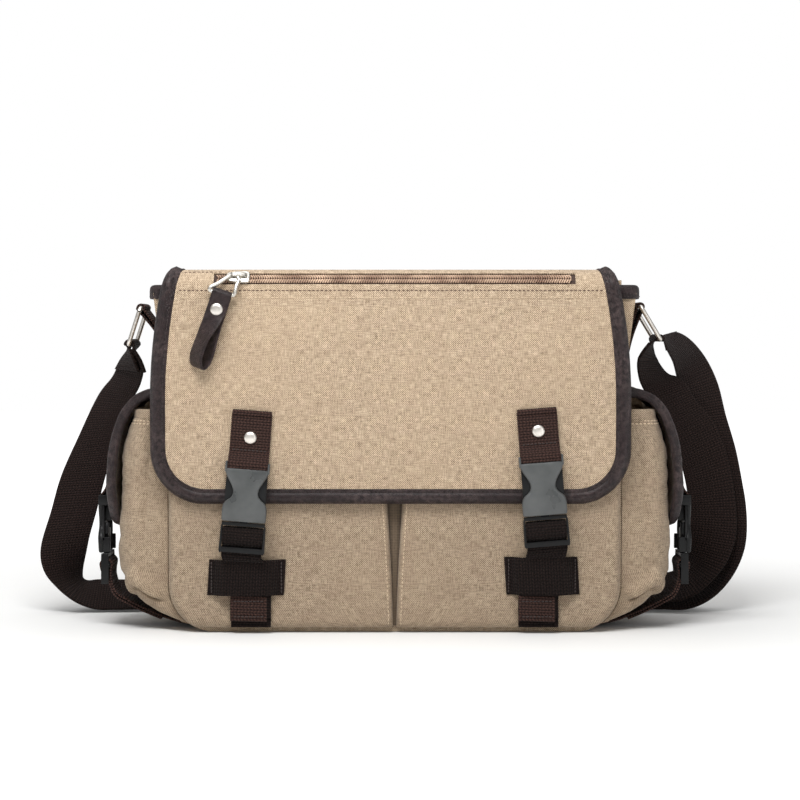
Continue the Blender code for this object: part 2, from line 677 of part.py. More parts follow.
def make_side_set(side, name, parts, materials):
    canvas, leather, web = materials["canvas"], materials["leather"], materials["web"]
    profile = smooth_route(SIDE_FLAP_PROFILE, 2)
    flap = Flap(profile, lambda s: SIDE_FLAP_HALF, SIDE_FLAP_CORNER,
                lambda u, h, z: (side * h, SIDE_BUCKLE_Y + u, z))
    rows = [flap.length * share for share in (0.0, 0.1, 0.2, 0.3, 0.42, 0.54, 0.66, 0.76)]
    rows = [s for s in rows if s < flap.length - SIDE_FLAP_CORNER - 3]
    body = parts[f"{name}_side_flap"]
    piece(f"{name}_side_flap", flap.panel(rows, 8.0 + GAP, (0.0, CANVAS), 10.0), canvas, body)
    piece(f"{name}_side_flap_binding", flap.binding(rows, 8.0, (-0.6, 3.8)), leather, body)

    place = side_buckle_place(side)
    make_buckle(f"{name}_side", place, parts, materials, f"{name}_side_flap")
    route = tab_route([(77, 0.9), (60, 2.2), (50, 4.0)], [(50, 0.8), (60, 0.3), (76, -0.95)])
    tab = band([place(0, v, w) for v, w in route], place.across, WEB_WIDTH, WEB)
    piece(f"{name}_side_tab", tab, web, body)

    low = [(152, 2.2), (165, 4.5), (178, 8.5), (192, 14.5), (205, 21.0), (214, 27.0)]
    climb = [(side * x, SIDE_BUCKLE_Y, z) for x, z in low]
    fall = [(side * (x + 1.2), SIDE_BUCKLE_Y, z - 1.8) for x, z in reversed(low[2:])]
    loop = [tuple(place(0, v, w)) for v, w in male_loop()[1:-1]]
    piece(f"{name}_side_strap", band(climb + loop + fall, (0, 1, 0), WEB_WIDTH, WEB), web)


# Rings, strap and their chapes --------------------------------------------------------------

def make_ring(side, name, parts, materials):
    out, height, swing = RING_TOP[side]
    lean = math.radians(swing)
    down = Vector((side * math.sin(lean), 0, -math.cos(lean)))
    top = Vector((side * out, RING_Y, height))
    across = Vector((0, 1, 0))
    inner_half, inner_drop = RING_HALF - RING_CORNER, RING_DROP - RING_CORNER
    plan = (arc((inner_half, RING_CORNER), RING_CORNER, -90, 0, 4)
            + arc((inner_half, inner_drop), RING_CORNER, 0, 90, 4)
            + arc((-inner_half, inner_drop), RING_CORNER, 90, 180, 4)
            + arc((-inner_half, RING_CORNER), RING_CORNER, 180, 270, 4))
    wire = tube([top + across * a + down * b for a, b in plan], WIRE, 8, closed=True)
    piece(f"{name}_ring", wire, materials["silver"], parts[f"{name}_ring"], smooth=True)

    turn = (215, -35) if side < 0 else (205, -45)
    wrap = [(out + a, height + b) for a, b in arc((0, 0), WIRE + GAP + WEB / 2 + 0.1, *turn, 8)]
    climb = [(176.6, 199), (178.3, 213), (181.3, 226)]
    fall = [(184.6, 226.5), (180.9, 213), (179.0, 201)]
    route = [(side * x, RING_Y, z) for x, z in climb + wrap + fall]
    width = 2 * (RING_HALF - RING_CORNER - GAP)
    piece(f"{name}_chape", band(route, (0, 1, 0), width, WEB), materials["web"])


def make_strap(materials):
    for name, stations in (("shoulder_strap", STRAP_ROUTE), ("strap_return", RETURN_ROUTE)):
        route = smooth_route([(*middle, *Vector(across).normalized()) for middle, across in stations], 2)
        shape = band([p[:3] for p in route], [p[3:] for p in route], STRAP_WIDTH, STRAP)
        piece(name, shape, materials["web"])

    middle, across = Vector((STRAP_SLIDER_X, 78.2, 11.6)), Vector((0, 35, 12)).normalized()
    along = Vector((1, -0.07, 0.04)).normalized()
    place = BucklePlace(middle, across, along, along.cross(across))
    frame = mirrored([(24, -15), (24, 15)])
    slots = [box((-19.6, v, -3), (19.6, v + 8.5, 6), place) for v in (-11.5, 3.0)]
    fused("strap_slider", [slab(frame, 0.0, 2.6, place)], slots, materials["plastic"])


def main():
    clear_scene()
    materials = {
        "canvas": make_material("canvas", CANVAS_COLOUR, 0.9),
        "lining": make_material("lining_cloth", LINING_COLOUR, 0.85),
        "leather": make_material("leather", LEATHER_COLOUR, 0.5),
        "web": make_material("webbing", WEB_COLOUR, 0.85),
        "plastic": make_material("black_plastic", PLASTIC_COLOUR, 0.4),
        "buckle": make_material("grey_plastic", BUCKLE_COLOUR, 0.4),
        "silver": make_material("silver", SILVER_COLOUR, 0.3, 1.0),
        "zip": make_material("zip_cloth", ZIP_COLOUR, 0.6),
    }
    parts = {"flap_top": pivot("flap_lift_axis", FLAP_HINGE)}
    parts["flap_front"] = pivot("flap_fold_axis", (0, -FOLD_H, FOLD_Z + FOLD_R + GAP), parts["flap_top"])
    parts["zip_slider"] = pivot("zip_slide_axis", on_zip(0, 0, 0), parts["flap_front"])
    parts["zip_puller"] = pivot("zip_puller_axis", on_zip(0, 0, EYE_HEIGHT), parts["zip_slider"])
    for side, name in ((-1, "left"), (1, "right")):
        hinge = (side * SIDE_HINGE[0], SIDE_BUCKLE_Y, SIDE_HINGE[1])
        ring_top = (side * RING_TOP[side][0], RING_Y, RING_TOP[side][1])
        parts[f"{name}_side_flap"] = pivot(f"{name}_side_flap_axis", hinge)
        parts[f"{name}_ring"] = pivot(f"{name}_ring_axis", ring_top)
        for kind, place in (("front", front_buckle_place(side)), ("side", side_buckle_place(side))):
            male = pivot(f"{name}_{kind}_male_axis", place(0, 0, 5))
            parts[f"{name}_{kind}_male"] = male
            for sign, letter in ((-1, "a"), (1, "b")):
                parts[f"{name}_{kind}_prong_{letter}"] = pivot(
                    f"{name}_{kind}_prong_{letter}_axis", place(sign * 10, 0, 4.6), male)

    make_body(materials["canvas"], materials["lining"], materials["leather"])
    make_front_pockets(materials["canvas"])
    make_side_pockets(materials["canvas"])
    flap, zip_s = make_flap(parts, materials["canvas"], materials["lining"], materials["leather"])
    make_zip(parts, flap, zip_s, materials["zip"], materials["silver"], materials["leather"])
    for side, name in ((-1, "left"), (1, "right")):
        place = front_buckle_place(side)
        make_buckle(f"{name}_front", place, parts, materials, "flap_front")
        make_front_webbing(side, name, place, parts, materials)
        make_side_set(side, name, parts, materials)
        make_ring(side, name, parts, materials)
    make_strap(materials)


main()
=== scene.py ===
"""The looks of the canvas messenger bag: its cloth, leather, webbing, zip and buckles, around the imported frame.

Places are in millimetres, in the frame's axes, and are scaled to metres when a mesh is made.
"""

import math

import bmesh
import bpy
import numpy as np
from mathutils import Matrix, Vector, noise


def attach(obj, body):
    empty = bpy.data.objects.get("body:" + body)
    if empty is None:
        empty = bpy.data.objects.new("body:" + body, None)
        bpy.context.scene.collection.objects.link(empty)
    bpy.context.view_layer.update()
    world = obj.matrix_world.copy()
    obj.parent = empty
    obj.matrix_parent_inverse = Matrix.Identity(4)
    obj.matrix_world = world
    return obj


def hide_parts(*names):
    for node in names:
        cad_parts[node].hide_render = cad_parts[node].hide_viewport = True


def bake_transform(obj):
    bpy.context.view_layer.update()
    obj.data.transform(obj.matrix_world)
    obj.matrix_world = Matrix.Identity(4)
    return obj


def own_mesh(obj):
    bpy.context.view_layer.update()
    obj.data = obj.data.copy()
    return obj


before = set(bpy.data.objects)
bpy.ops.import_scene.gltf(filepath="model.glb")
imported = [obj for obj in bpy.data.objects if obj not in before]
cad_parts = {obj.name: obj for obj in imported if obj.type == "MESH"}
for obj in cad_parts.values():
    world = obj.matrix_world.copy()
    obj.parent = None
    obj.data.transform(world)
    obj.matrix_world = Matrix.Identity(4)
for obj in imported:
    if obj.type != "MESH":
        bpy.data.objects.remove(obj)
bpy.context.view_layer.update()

MM = 0.001

# The bag's driving sizes, as its CAD has them
LOWER_HALF, UPPER_HALF = 171.0, 182.0
FLARE_START, MOUTH_Z, BACK_TOP_Z = 170.0, 256.0, 268.0
CORNER = 35.0
FRONT_Y, BACK_Y, POCKET_Y = -49.5, 52.5, -57.5
POCKET_TOP, POCKET_BOTTOM = 150.0, 4.0
HEM_Z = 168.0
FLAP_SHIFT, FOLD_H, FOLD_Z, FOLD_R = -3.0, 47.0, 257.0, 16.5
FLAP_BOTTOM_Z, FLAP_TOP_HALF, FLAP_MID_HALF, FLAP_CORNER = 98.0, 166.0, 179.6, 41.0
BINDING, BOUND = 10.0, 11.5          # the CAD's flat binding, and how far the sewn leather really laps on to the cloth
ZIP_HALF, ZIP_ANGLE, SLIDER_X = 135.0, 54.5, -114.0
COIL_RADIUS, COIL_PITCH, THREAD_SIDES = 0.64, 1.8, 6
RIVET_RADIUS = 4.6
MOULD_ROUNDING = 0.7                  # how far the moulded buckle parts are rounded over
POCKET_SEAM = 0.8                     # how far a front pocket stays inside the front panel's edge
YARN_PITCH, RIB_WIDTH, RIB_LENGTH = 0.00155, 0.0025, 0.0021   # the weave and the webbing's ribs, in metres
WEB, WEB_WIDTH = 1.5, 30.0
BUCKLE_X, BUCKLE_PIVOT_Z, BUCKLE_TILT = 106.5, 160.0, 4.5
FRONT_MOUTH_Z = {-1: 85.5, 1: 90.5}
FRONT_BACK_Y = -65.0
SIDE_BUCKLE_X, SIDE_BUCKLE_Y, SIDE_MOUTH_Z = 217.0, -12.0, 57.5
SIDE_FLAP_HALF, SIDE_FLAP_CORNER = 32.0, 24.0
SIDE_FLAP_PROFILE = [(176, 181.5), (186, 181), (199, 174), (209, 158), (215, 134), (216.5, 108), (215, 92), (213, 78)]
RING_Y, WIRE, RING_HALF, RING_DROP, RING_CORNER = 8.0, 1.7, 21.7, 29.5, 3.2
RING_TOP = {-1: (196.0, 245.0, 18.0), 1: (189.5, 246.0, 31.0)}
STRAP_WIDTH, STRAP = 38.0, 1.8
SIDES = {-1: "left", 1: "right"}

# The strap's middle line and the direction across it, as in the CAD
STRAP_ROUTE = [
    ((-206.5, 7.5, 212.0), (7, -37, 3)), ((-208, 20, 200), (24, -32, -2)), ((-213, 29, 188), (27, -29, -5)),
    ((-223, 38, 174), (32, -24, -3)), ((-238, 48, 144), (37, -16, 5)), ((-251, 53, 111), (41, -6, 3)),
    ((-259, 53, 82), (41, -2, 3)), ((-266, 52, 57), (38, 8, 3)), ((-268, 57, 37), (27, 24, 2)),
    ((-264, 62, 24), (14, 32, 4)), ((-255, 65, 16), (4, 34, 12)), ((-242, 68, 13), (-1, 31, 19)),
    ((-224, 70, 12.5), (0, 31, 19)), ((-190, 74, 12), (0, 32, 18)), ((-130, 79, 9), (0, 35, 11)),
    ((-60, 82, 7), (0, 37, 7)), ((0, 83, 7), (0, 37, 7)), ((60, 82, 7), (0, 37, 7)),
    ((130, 79, 9), (0, 35, 11)), ((190, 74, 12), (0, 32, 18)), ((218, 71, 12.5), (0, 31, 19)),
    ((236, 70, 13), (-2, 31, 19)), ((250, 68, 17), (-9, 34, 10)), ((260, 65, 29), (-17, 31, 4)),
    ((265, 62, 47), (-27, 20, -1)), ((266, 61, 67), (-35, 10, 1)), ((265, 61, 88), (-40, 2, 1)),
    ((262, 60, 105), (-40, 0, 0)), ((257, 59, 131), (-38, -4, 0)), ((250, 57, 157), (-37, -13, -4)),
    ((245, 55, 180), (-34, -18, -8)), ((238, 50, 198), (-28, -24, -13)), ((228, 31, 211), (-18, -28, -16)),
    ((218, 17, 219), (-11, -32, -14)), ((210, 8, 222), (-5, -37, -3)),
]
RETURN_ROUTE = [
    ((200, 8, 215.5), (-7, -37, 6)), ((198, 10, 205), (-19, -33, 2)), ((203, 17, 193), (-27, -29, -2)),
    ((213, 28.5, 184), (-32, -17, -9)), ((225, 36, 164), (-34, -14, -15)), ((237, 42, 149), (-36, -7, -17)),
    ((246, 47, 130), (-38, -3, -17)), ((252, 49, 109), (-40, -1, -10)), ((255, 51, 88), (-40, 0, -2)),
    ((256, 52, 69), (-38, 6, 3)), ((253, 55, 50), (-29, 19, 6)), ((247, 59, 35), (-17, 28, 10)),
    ((236, 63, 23.5), (-9, 31, 16)), ((222, 66, 19), (-2, 31, 18)), ((205, 68, 18.5), (0, 31, 18)),
    ((180, 71.5, 17), (0, 32, 17)), ((155, 74, 15.5), (0, 33, 15)),
]


# Camera, light and floor --------------------------------------------------------------------

def add_light(name, place, target, size, power):
    data = bpy.data.lights.new(name, "AREA")
    data.shape = "RECTANGLE"
    data.size, data.size_y = size
    data.energy = power
    lamp = bpy.data.objects.new(name, data)
    lamp.location = place
    lamp.rotation_euler = (Vector(target) - Vector(place)).to_track_quat("-Z", "Y").to_euler()
    bpy.context.scene.collection.objects.link(lamp)


def make_studio():
    data = bpy.data.cameras.new("camera")
    data.lens = 90.0
    data.clip_end = 20.0
    camera = bpy.data.objects.new("camera", data)
    camera.location = (0.004, -1.555, 0.228)
    camera.rotation_euler = (math.radians(88.0), 0.0, 0.0)
    bpy.context.scene.collection.objects.link(camera)
    bpy.context.scene.camera = camera

    add_light("key", (-0.15, -0.6, 0.88), (0, 0, 0.25), (0.7, 0.3), 9.8)
    add_light("fill", (1.1, -1.3, 0.6), (0, 0, 0.12), (0.8, 0.9), 2.5)
    add_light("top", (0, 0.15, 1.3), (0, 0, 0.1), (1.4, 0.8), 5)
    world = bpy.data.worlds.new("world")
    world.use_nodes = True
    tree = world.node_tree
    soft, white = tree.nodes["Background"], tree.nodes.new("ShaderNodeBackground")
    seen, mix = tree.nodes.new("ShaderNodeLightPath"), tree.nodes.new("ShaderNodeMixShader")
    soft.inputs["Color"].default_value = white.inputs["Color"].default_value = (1, 1, 1, 1)
    soft.inputs["Strength"].default_value = 0.36
    white.inputs["Strength"].default_value = 1.0
    tree.links.new(seen.outputs["Is Camera Ray"], mix.inputs["Fac"])
    tree.links.new(soft.outputs["Background"], mix.inputs[1])
    tree.links.new(white.outputs["Background"], mix.inputs[2])
    tree.links.new(mix.outputs["Shader"], tree.nodes["World Output"].inputs["Surface"])
    bpy.context.scene.world = world
    bpy.context.scene.view_settings.view_transform = "Standard"

    pale = bpy.data.materials.new("pale_floor")
    pale.use_nodes = True
    tree = pale.node_tree
    shader = tree.nodes["Principled BSDF"]
    shader.inputs["Base Color"].default_value = (0.86, 0.86, 0.85, 1)
    shader.inputs["Roughness"].default_value = 0.8
    shader.inputs["Emission Color"].default_value = (1, 1, 1, 1)
    # The floor glows more with distance, so that it meets the white surroundings without a line
    place = tree.nodes.new("ShaderNodeTexCoord")
    away = tree.nodes.new("ShaderNodeVectorMath")
    away.operation = "LENGTH"
    glow = tree.nodes.new("ShaderNodeMapRange")
    for socket, value in (("From Min", 0.25), ("From Max", 1.1), ("To Min", 0.0), ("To Max", 0.8)):
        glow.inputs[socket].default_value = value
    tree.links.new(place.outputs["Object"], away.inputs[0])
    tree.links.new(away.outputs["Value"], glow.inputs["Value"])
    tree.links.new(glow.outputs["Result"], shader.inputs["Emission Strength"])
    outline = [(-4, -4, 0), (4, -4, 0), (4, 4, 0), (-4, 4, 0)]
    mesh = bpy.data.meshes.new("floor")
    mesh.from_pydata(outline, [], [(0, 1, 2, 3)])
    mesh.materials.append(pale)
    floor = bpy.data.objects.new("floor", mesh)
    bpy.context.scene.collection.objects.link(floor)


# Materials ----------------------------------------------------------------------------------

class Recipe:
    """A material made of nodes around one Principled shader."""

    def __init__(self, name, slot, **settings):
        self.material = bpy.data.materials.new(name)
        self.material.use_nodes = True
        self.material["slot"] = slot
        self.tree = self.material.node_tree
        self.shader = self.tree.nodes["Principled BSDF"]
        for key, value in settings.items():
            self.set(self.shader.inputs[key.replace("_", " ")], value)

    def set(self, socket, value):
        if isinstance(value, bpy.types.NodeSocket):
            self.tree.links.new(value, socket)
        else:
            socket.default_value = value

    def node(self, kind, inputs, output=0, **settings):
        made = self.tree.nodes.new("ShaderNode" + kind)
        for key, value in settings.items():
            setattr(made, key, value)
        for key, value in inputs.items():
            self.set(made.inputs[key], value)
        return made.outputs[output]

    def math(self, operation, a, b=0.0, c=0.0):
        return self.node("Math", {0: a, 1: b, 2: c}, operation=operation)

    def object_place(self):
        return self.node("TexCoord", {}, output=3)

    def cloth_place(self):
        """Metres across and along the cloth, kept in each mesh as an attribute."""
        return self.node("Attribute", {}, output=1, attribute_name="cloth")

    def parts(self, place):
        made = self.tree.nodes.new("ShaderNodeSeparateXYZ")
        self.set(made.inputs[0], place)
        return made.outputs

    def stretched(self, place, scale):
        return self.node("Mapping", {"Vector": place, "Scale": scale})

    def noise(self, place, scale, detail=3.0, roughness=0.6):
        return self.node("TexNoise", {"Vector": place, "Scale": scale, "Detail": detail, "Roughness": roughness})

    def mix(self, share, a, b):
        return self.node("Mix", {0: share, 6: a, 7: b}, output=2, data_type="RGBA")

    def spread(self, value, low, high, new_low=0.0, new_high=1.0):
        return self.node("MapRange", {0: value, 1: low, 2: high, 3: new_low, 4: new_high})

    def bump(self, height, distance, strength=1.0, below=None):
        inputs = {"Height": height, "Distance": distance, "Strength": strength}
        if below:
            inputs["Normal"] = below
        return self.node("Bump", inputs)


def rgb(r, g, b):
    """A linear colour from the usual 0 to 255 numbers."""
    channel = lambda v: (v / 255 / 12.92) if v <= 10 else ((v / 255 + 0.055) / 1.055) ** 2.4
    return channel(r), channel(g), channel(b), 1.0


def shaded(shade, *colour):
    return rgb(*(v * shade for v in colour))


def canvas_material(name, shade, pink):
    """Washed plain-weave canvas: uneven yarns both ways, a heathered colour and soft faded patches."""
    r = Recipe(name, "canvas", Roughness=0.92, Sheen_Weight=0.12, Sheen_Roughness=0.5, Specular_IOR_Level=0.2)
    cloth = r.cloth_place()
    parts = r.parts(cloth)
    drift = r.noise(cloth, 160.0, 1.0)
    pitch = 2 * math.pi / YARN_PITCH
    across = r.math("MULTIPLY_ADD", parts[0], pitch, r.math("MULTIPLY", drift, 3.0))
    along = r.math("MULTIPLY_ADD", parts[1], pitch, r.math("MULTIPLY", drift, -3.0))
    weave = r.math("MULTIPLY", r.math("SINE", across), r.math("SINE", along))
    warp = r.noise(r.stretched(cloth, (1400, 160, 1)), 1.0, 2.0)
    weft = r.noise(r.stretched(cloth, (160, 1400, 1)), 1.0, 2.0)
    yarns = r.math("ADD", warp, weft)
    height = r.math("MULTIPLY_ADD", weave, 0.42, yarns)
    fleck = r.spread(height, 0.6, 1.4)
    patch = r.noise(cloth, 9.0, 3.0, 0.55)
    worn = r.noise(cloth, 55.0, 4.0, 0.7)
    dark = shaded(shade, 92, 72, 52)
    light = shaded(shade, 230, 207, 178)
    yarn = r.mix(fleck, dark, light)
    faded = r.mix(r.spread(patch, 0.35, 0.65, 0.0, 0.25), yarn, shaded(shade, 196, 172, 142))
    tinted = r.mix(r.spread(worn, 0.4, 0.72, 0.0, pink), faded, shaded(shade, 150, 124, 106))
    r.set(r.shader.inputs["Base Color"], tinted)
    r.set(r.shader.inputs["Roughness"], r.spread(yarns, 0.7, 1.3, 0.97, 0.84))
    soft = r.bump(worn, 0.0012, 0.25)
    r.set(r.shader.inputs["Normal"], r.bump(height, 0.00035, 0.75, soft))
    return r.material


def webbing_material(name, shade):
    """Coarse ribbed webbing: rows of slanted stitches that lean one way and then the other."""
    r = Recipe(name, "webbing", Roughness=0.75, Sheen_Weight=0.03, Sheen_Roughness=0.4, Specular_IOR_Level=0.12)
    cloth = r.cloth_place()
    parts = r.parts(cloth)
    u = r.math("DIVIDE", parts[0], RIB_WIDTH)
    v = r.math("DIVIDE", parts[1], RIB_LENGTH)
    row = r.math("FRACT", v)
    lean = r.math("PINGPONG", v, 1.0)
    rib = r.math("SINE", r.math("MULTIPLY", row, math.pi))
    slant = r.math("MULTIPLY", r.math("ADD", u, r.math("MULTIPLY", lean, 0.5)), 2 * math.pi)
    knot = r.math("MULTIPLY_ADD", r.math("SINE", slant), 0.5, 0.5)
    fuzz = r.noise(r.stretched(cloth, (900, 900, 900)), 1.0, 2.0)
    height = r.math("MULTIPLY", r.math("POWER", rib, 0.6), r.math("MULTIPLY_ADD", knot, 0.55, 0.45))
    # The colour follows the ribs' height: darker in the grooves between rows as painted shade, and lighter on the rib
    # tops as painted highlight. The fuzz speckle is the yarn's own colour.
    tone = r.math("MULTIPLY", height, r.spread(fuzz, 0.25, 0.75, 0.35, 1.2))
    dark, light = shaded(shade, 10, 5, 5), shaded(shade, 122, 88, 79)
    r.set(r.shader.inputs["Base Color"], r.mix(tone, dark, light))
    r.set(r.shader.inputs["Normal"], r.bump(r.math("MULTIPLY_ADD", fuzz, 0.3, height), 0.0009, 1.0))
    return r.material


def leather_material():
    """Waxed dark leather: pebbled grain, lighter in worn patches spread at random, with a soft grey shine."""
    r = Recipe("dark_leather", "leather", Specular_IOR_Level=0.32, Coat_Weight=0.1, Coat_Roughness=0.3)
    place = r.object_place()
    cells = r.node("TexVoronoi", {"Vector": place, "Scale": 950.0, "Randomness": 1.0}, feature="DISTANCE_TO_EDGE")
    grain = r.math("MINIMUM", r.math("MULTIPLY", cells, 3.0), 0.5)
    creases = r.noise(place, 260.0, 5.0, 0.65)
    patches = r.noise(place, 38.0, 3.0, 0.6)
    height = r.math("MULTIPLY_ADD", creases, 1.3, grain)
    worn = r.math("MULTIPLY", r.spread(patches, 0.42, 0.7), r.spread(creases, 0.4, 0.65))
    base = r.mix(r.spread(creases, 0.3, 0.7), rgb(24, 15, 16), rgb(54, 40, 41))
    r.set(r.shader.inputs["Base Color"], r.mix(r.math("MULTIPLY", worn, 0.6), base, rgb(104, 88, 86)))
    r.set(r.shader.inputs["Roughness"], r.spread(patches, 0.3, 0.7, 0.34, 0.5))
    r.set(r.shader.inputs["Normal"], r.bump(height, 0.0012, 0.9))
    return r.material


def plastic_material(name, slot, low, high, roughness, specular=0.5):
    """Moulded plastic with a faint orange-peel skin and scuffs."""
    r = Recipe(name, slot, Specular_IOR_Level=specular)
    place = r.object_place()
    skin = r.noise(place, 900.0, 2.0)
    scuffs = r.noise(place, 60.0, 3.0, 0.5)
    r.set(r.shader.inputs["Base Color"], r.mix(r.spread(scuffs, 0.35, 0.7), low, high))
    r.set(r.shader.inputs["Roughness"], r.spread(scuffs, 0.3, 0.7, roughness - 0.05, roughness + 0.1))
    r.set(r.shader.inputs["Normal"], r.bump(skin, 0.00008, 0.5))
    return r.material


def metal_material(name, slot, colour, roughness):
    """Plated metal with fine rubbed marks."""
    r = Recipe(name, slot, Metallic=1.0)
    place = r.object_place()
    marks = r.noise(r.stretched(place, (300, 300, 1500)), 1.0, 3.0)
    tarnish = r.noise(place, 120.0, 3.0)
    deep = tuple(v * 0.72 for v in colour[:3]) + (1.0,)
    r.set(r.shader.inputs["Base Color"], r.mix(r.spread(tarnish, 0.35, 0.7), deep, colour))
    r.set(r.shader.inputs["Roughness"], r.spread(marks, 0.3, 0.7, roughness - 0.06, roughness + 0.12))
    r.set(r.shader.inputs["Normal"], r.bump(marks, 0.00005, 0.3))
    return r.material


def thread_material(name, slot, low, high):
    """Twisted sewing thread."""
    r = Recipe(name, slot, Roughness=0.75, Sheen_Weight=0.2, Sheen_Roughness=0.5)
    twist = r.noise(r.object_place(), 1800.0, 2.0)
    r.set(r.shader.inputs["Base Color"], r.mix(r.spread(twist, 0.3, 0.7), low, high))
    r.set(r.shader.inputs["Normal"], r.bump(twist, 0.0001, 0.6))
    return r.material


def tape_material(name, slot, low, high, pitch):
    """A fine woven tape or lining, ribbed along its length."""
    r = Recipe(name, slot, Roughness=0.85, Sheen_Weight=0.15, Sheen_Roughness=0.5)
    cloth = r.object_place()
    parts = r.parts(cloth)
    wave = lambda output: r.math("SINE", r.math("MULTIPLY", parts[output], 2 * math.pi / pitch))
    rows = r.math("MULTIPLY_ADD", r.math("ADD", wave(0), r.math("ADD", wave(1), wave(2))), 0.17, 0.5)
    fuzz = r.noise(cloth, 700.0, 3.0)
    height = r.math("MULTIPLY_ADD", fuzz, 0.6, rows)
    r.set(r.shader.inputs["Base Color"], r.mix(r.spread(height, 0.5, 1.1), low, high))
    r.set(r.shader.inputs["Normal"], r.bump(height, 0.00025, 0.6))
    return r.material


def make_materials():
    return {
        "canvas": canvas_material("washed_canvas", 0.95, 0.16),
        # The pocket canvas is darker than the body's (0.86 against 0.95): painted shade for the shadow and fall-off
        # over the lower bag. Its stronger pink tint is the cloth's own worn colour.
        "pocket": canvas_material("rubbed_and_shaded_canvas", 0.86, 0.36),
        "webbing": webbing_material("ribbed_webbing", 0.66),
        "keeper": webbing_material("keeper_webbing", 0.32),
        "strap": webbing_material("strap_webbing", 0.42),
        "leather": leather_material(),
        "grey": plastic_material("grey_plastic", "grey_plastic", rgb(66, 68, 68), rgb(84, 86, 86), 0.3),
        "black": plastic_material("black_plastic", "black_plastic", rgb(8, 8, 9), rgb(18, 19, 20), 0.4, 0.28),
        "silver": metal_material("plated_steel", "silver_metal", rgb(244, 238, 230), 0.34),
        "zip_metal": metal_material("antique_slider", "zip_metal", rgb(226, 222, 214), 0.3),
        "coil": plastic_material("zip_coil", "zip_cloth", rgb(128, 98, 80), rgb(206, 176, 150), 0.45),
        "tape": tape_material("zip_tape_cloth", "zip_cloth", rgb(34, 22, 17), rgb(76, 54, 43), 0.0009),
        "lining": tape_material("lining_twill", "lining_cloth", rgb(62, 52, 42), rgb(104, 88, 70), 0.0012),
        "pale_thread": thread_material("pale_thread", "canvas", rgb(176, 150, 120), rgb(226, 206, 178)),
        "brown_thread": thread_material("brown_thread", "canvas", rgb(66, 44, 32), rgb(104, 76, 58)),
        "dark_thread": thread_material("dark_thread", "webbing", rgb(22, 14, 14), rgb(60, 42, 38)),
    }


# Meshes -------------------------------------------------------------------------------------

def unit(v):
    v = np.asarray(v, float)
    return v / np.linalg.norm(v)


def add_mesh(name, points, faces, material, body, replaces=(), cloth=None, angle=40):
    """A piece from points in millimetres that rides on a body; cloth holds metres across and along it."""
    mesh = bpy.data.meshes.new(name)
    mesh.from_pydata([tuple(p) for p in np.asarray(points, float) * MM], [], faces)
    if cloth is not None:
        values = np.zeros((len(points), 3), np.float32)
        values[:, :2] = cloth
        mesh.attributes.new("cloth", "FLOAT_VECTOR", "POINT").data.foreach_set("vector", values.ravel())
    bm = bmesh.new()
    bm.from_mesh(mesh)
    bmesh.ops.recalc_face_normals(bm, faces=bm.faces)
    bm.to_mesh(mesh)
    bm.free()
    mesh.shade_smooth()
    mesh.set_sharp_from_angle(angle=math.radians(angle))
    mesh.materials.append(material)
    thing = bpy.data.objects.new(name, mesh)
    bpy.context.scene.collection.objects.link(thing)
    if body:
        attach(thing, body)
    if replaces:
        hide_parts(*replaces)
    return thing


def put_material(node, material):
    """A material for a CAD node that is shown as it is."""
    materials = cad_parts[node].data.materials
    materials.clear()
    materials.append(material)


def circle(centre, radius, level, upright, sides):
    """Points round a circle that two directions span."""
    angles = np.arange(sides) * 2 * math.pi / sides
    return centre + radius * (np.outer(np.cos(angles), level) + np.outer(np.sin(angles), upright))


def cloth_lengths(grid):
    """Metres across and along a grid of points, measured on the grid itself."""
    across = np.zeros(grid.shape[:2])
    along = np.zeros(grid.shape[:2])
    across[:, 1:] = np.cumsum(np.linalg.norm(np.diff(grid, axis=1), axis=2), axis=1)
    along[1:] = np.cumsum(np.linalg.norm(np.diff(grid, axis=0), axis=2), axis=0)
    middle = grid.shape[1] // 2
    across -= across[:, middle:middle + 1]
    along = np.repeat(along[:, middle:middle + 1], grid.shape[1], axis=1)
    return np.stack([across, along], axis=-1).reshape(-1, 2) * MM


def grid_normals(grid):
    normals = np.cross(np.gradient(grid, axis=1), np.gradient(grid, axis=0))
    lengths = np.linalg.norm(normals, axis=2, keepdims=True)
    return normals / np.maximum(lengths, 1e-9)


def cloth_sheet(name, grid, thickness, material, body, replaces=(), holes=(), *, outward):
    """Cloth with thickness behind a grid of outer points; outward is a point that its outer face looks towards."""
    grid = np.asarray(grid, float)
    rows, columns = grid.shape[:2]
    normals = grid_normals(grid)
    middle = (rows // 2, columns // 2)
    if np.dot(normals[middle], np.asarray(outward) - grid[middle]) < 0:
        normals = -normals
    inner = grid - normals * thickness
    points = np.concatenate([grid.reshape(-1, 3), inner.reshape(-1, 3)])
    count = rows * columns
    front = [(r * columns + c, r * columns + c + 1, (r + 1) * columns + c + 1, (r + 1) * columns + c)
             for r in range(rows - 1) for c in range(columns - 1) if (r, c) not in holes]
    faces = front + [tuple(i + count for i in reversed(face)) for face in front]
    edges = {}
    for face in front:
        for a, b in zip(face, face[1:] + face[:1]):
            key = (min(a, b), max(a, b))
            edges[key] = None if key in edges else (a, b)
    faces += [(b, a, a + count, b + count) for a, b in filter(None, edges.values())]
    used = sorted({i for face in faces for i in face})
    number = {old: new for new, old in enumerate(used)}
    lengths = cloth_lengths(grid)
    cloth = np.concatenate([lengths, lengths])[used]
    faces = [tuple(number[i] for i in face) for face in faces]
    return add_mesh(name, points[used], faces, material, body, replaces, cloth)


def sweep(sections, closed=False):
    """Points and faces of a skin over closed rings of points, capped unless it closes on itself."""
    sections = np.asarray(sections, float)
    count, sides = sections.shape[:2]
    faces = []
    for r in range(count if closed else count - 1):
        a, b = r * sides, (r + 1) % count * sides
        faces += [(a + k, a + (k + 1) % sides, b + (k + 1) % sides, b + k) for k in range(sides)]
    if not closed:
        last = (count - 1) * sides
        faces += [tuple(range(sides)), tuple(last + k for k in reversed(range(sides)))]
    return sections.reshape(-1, 3), faces


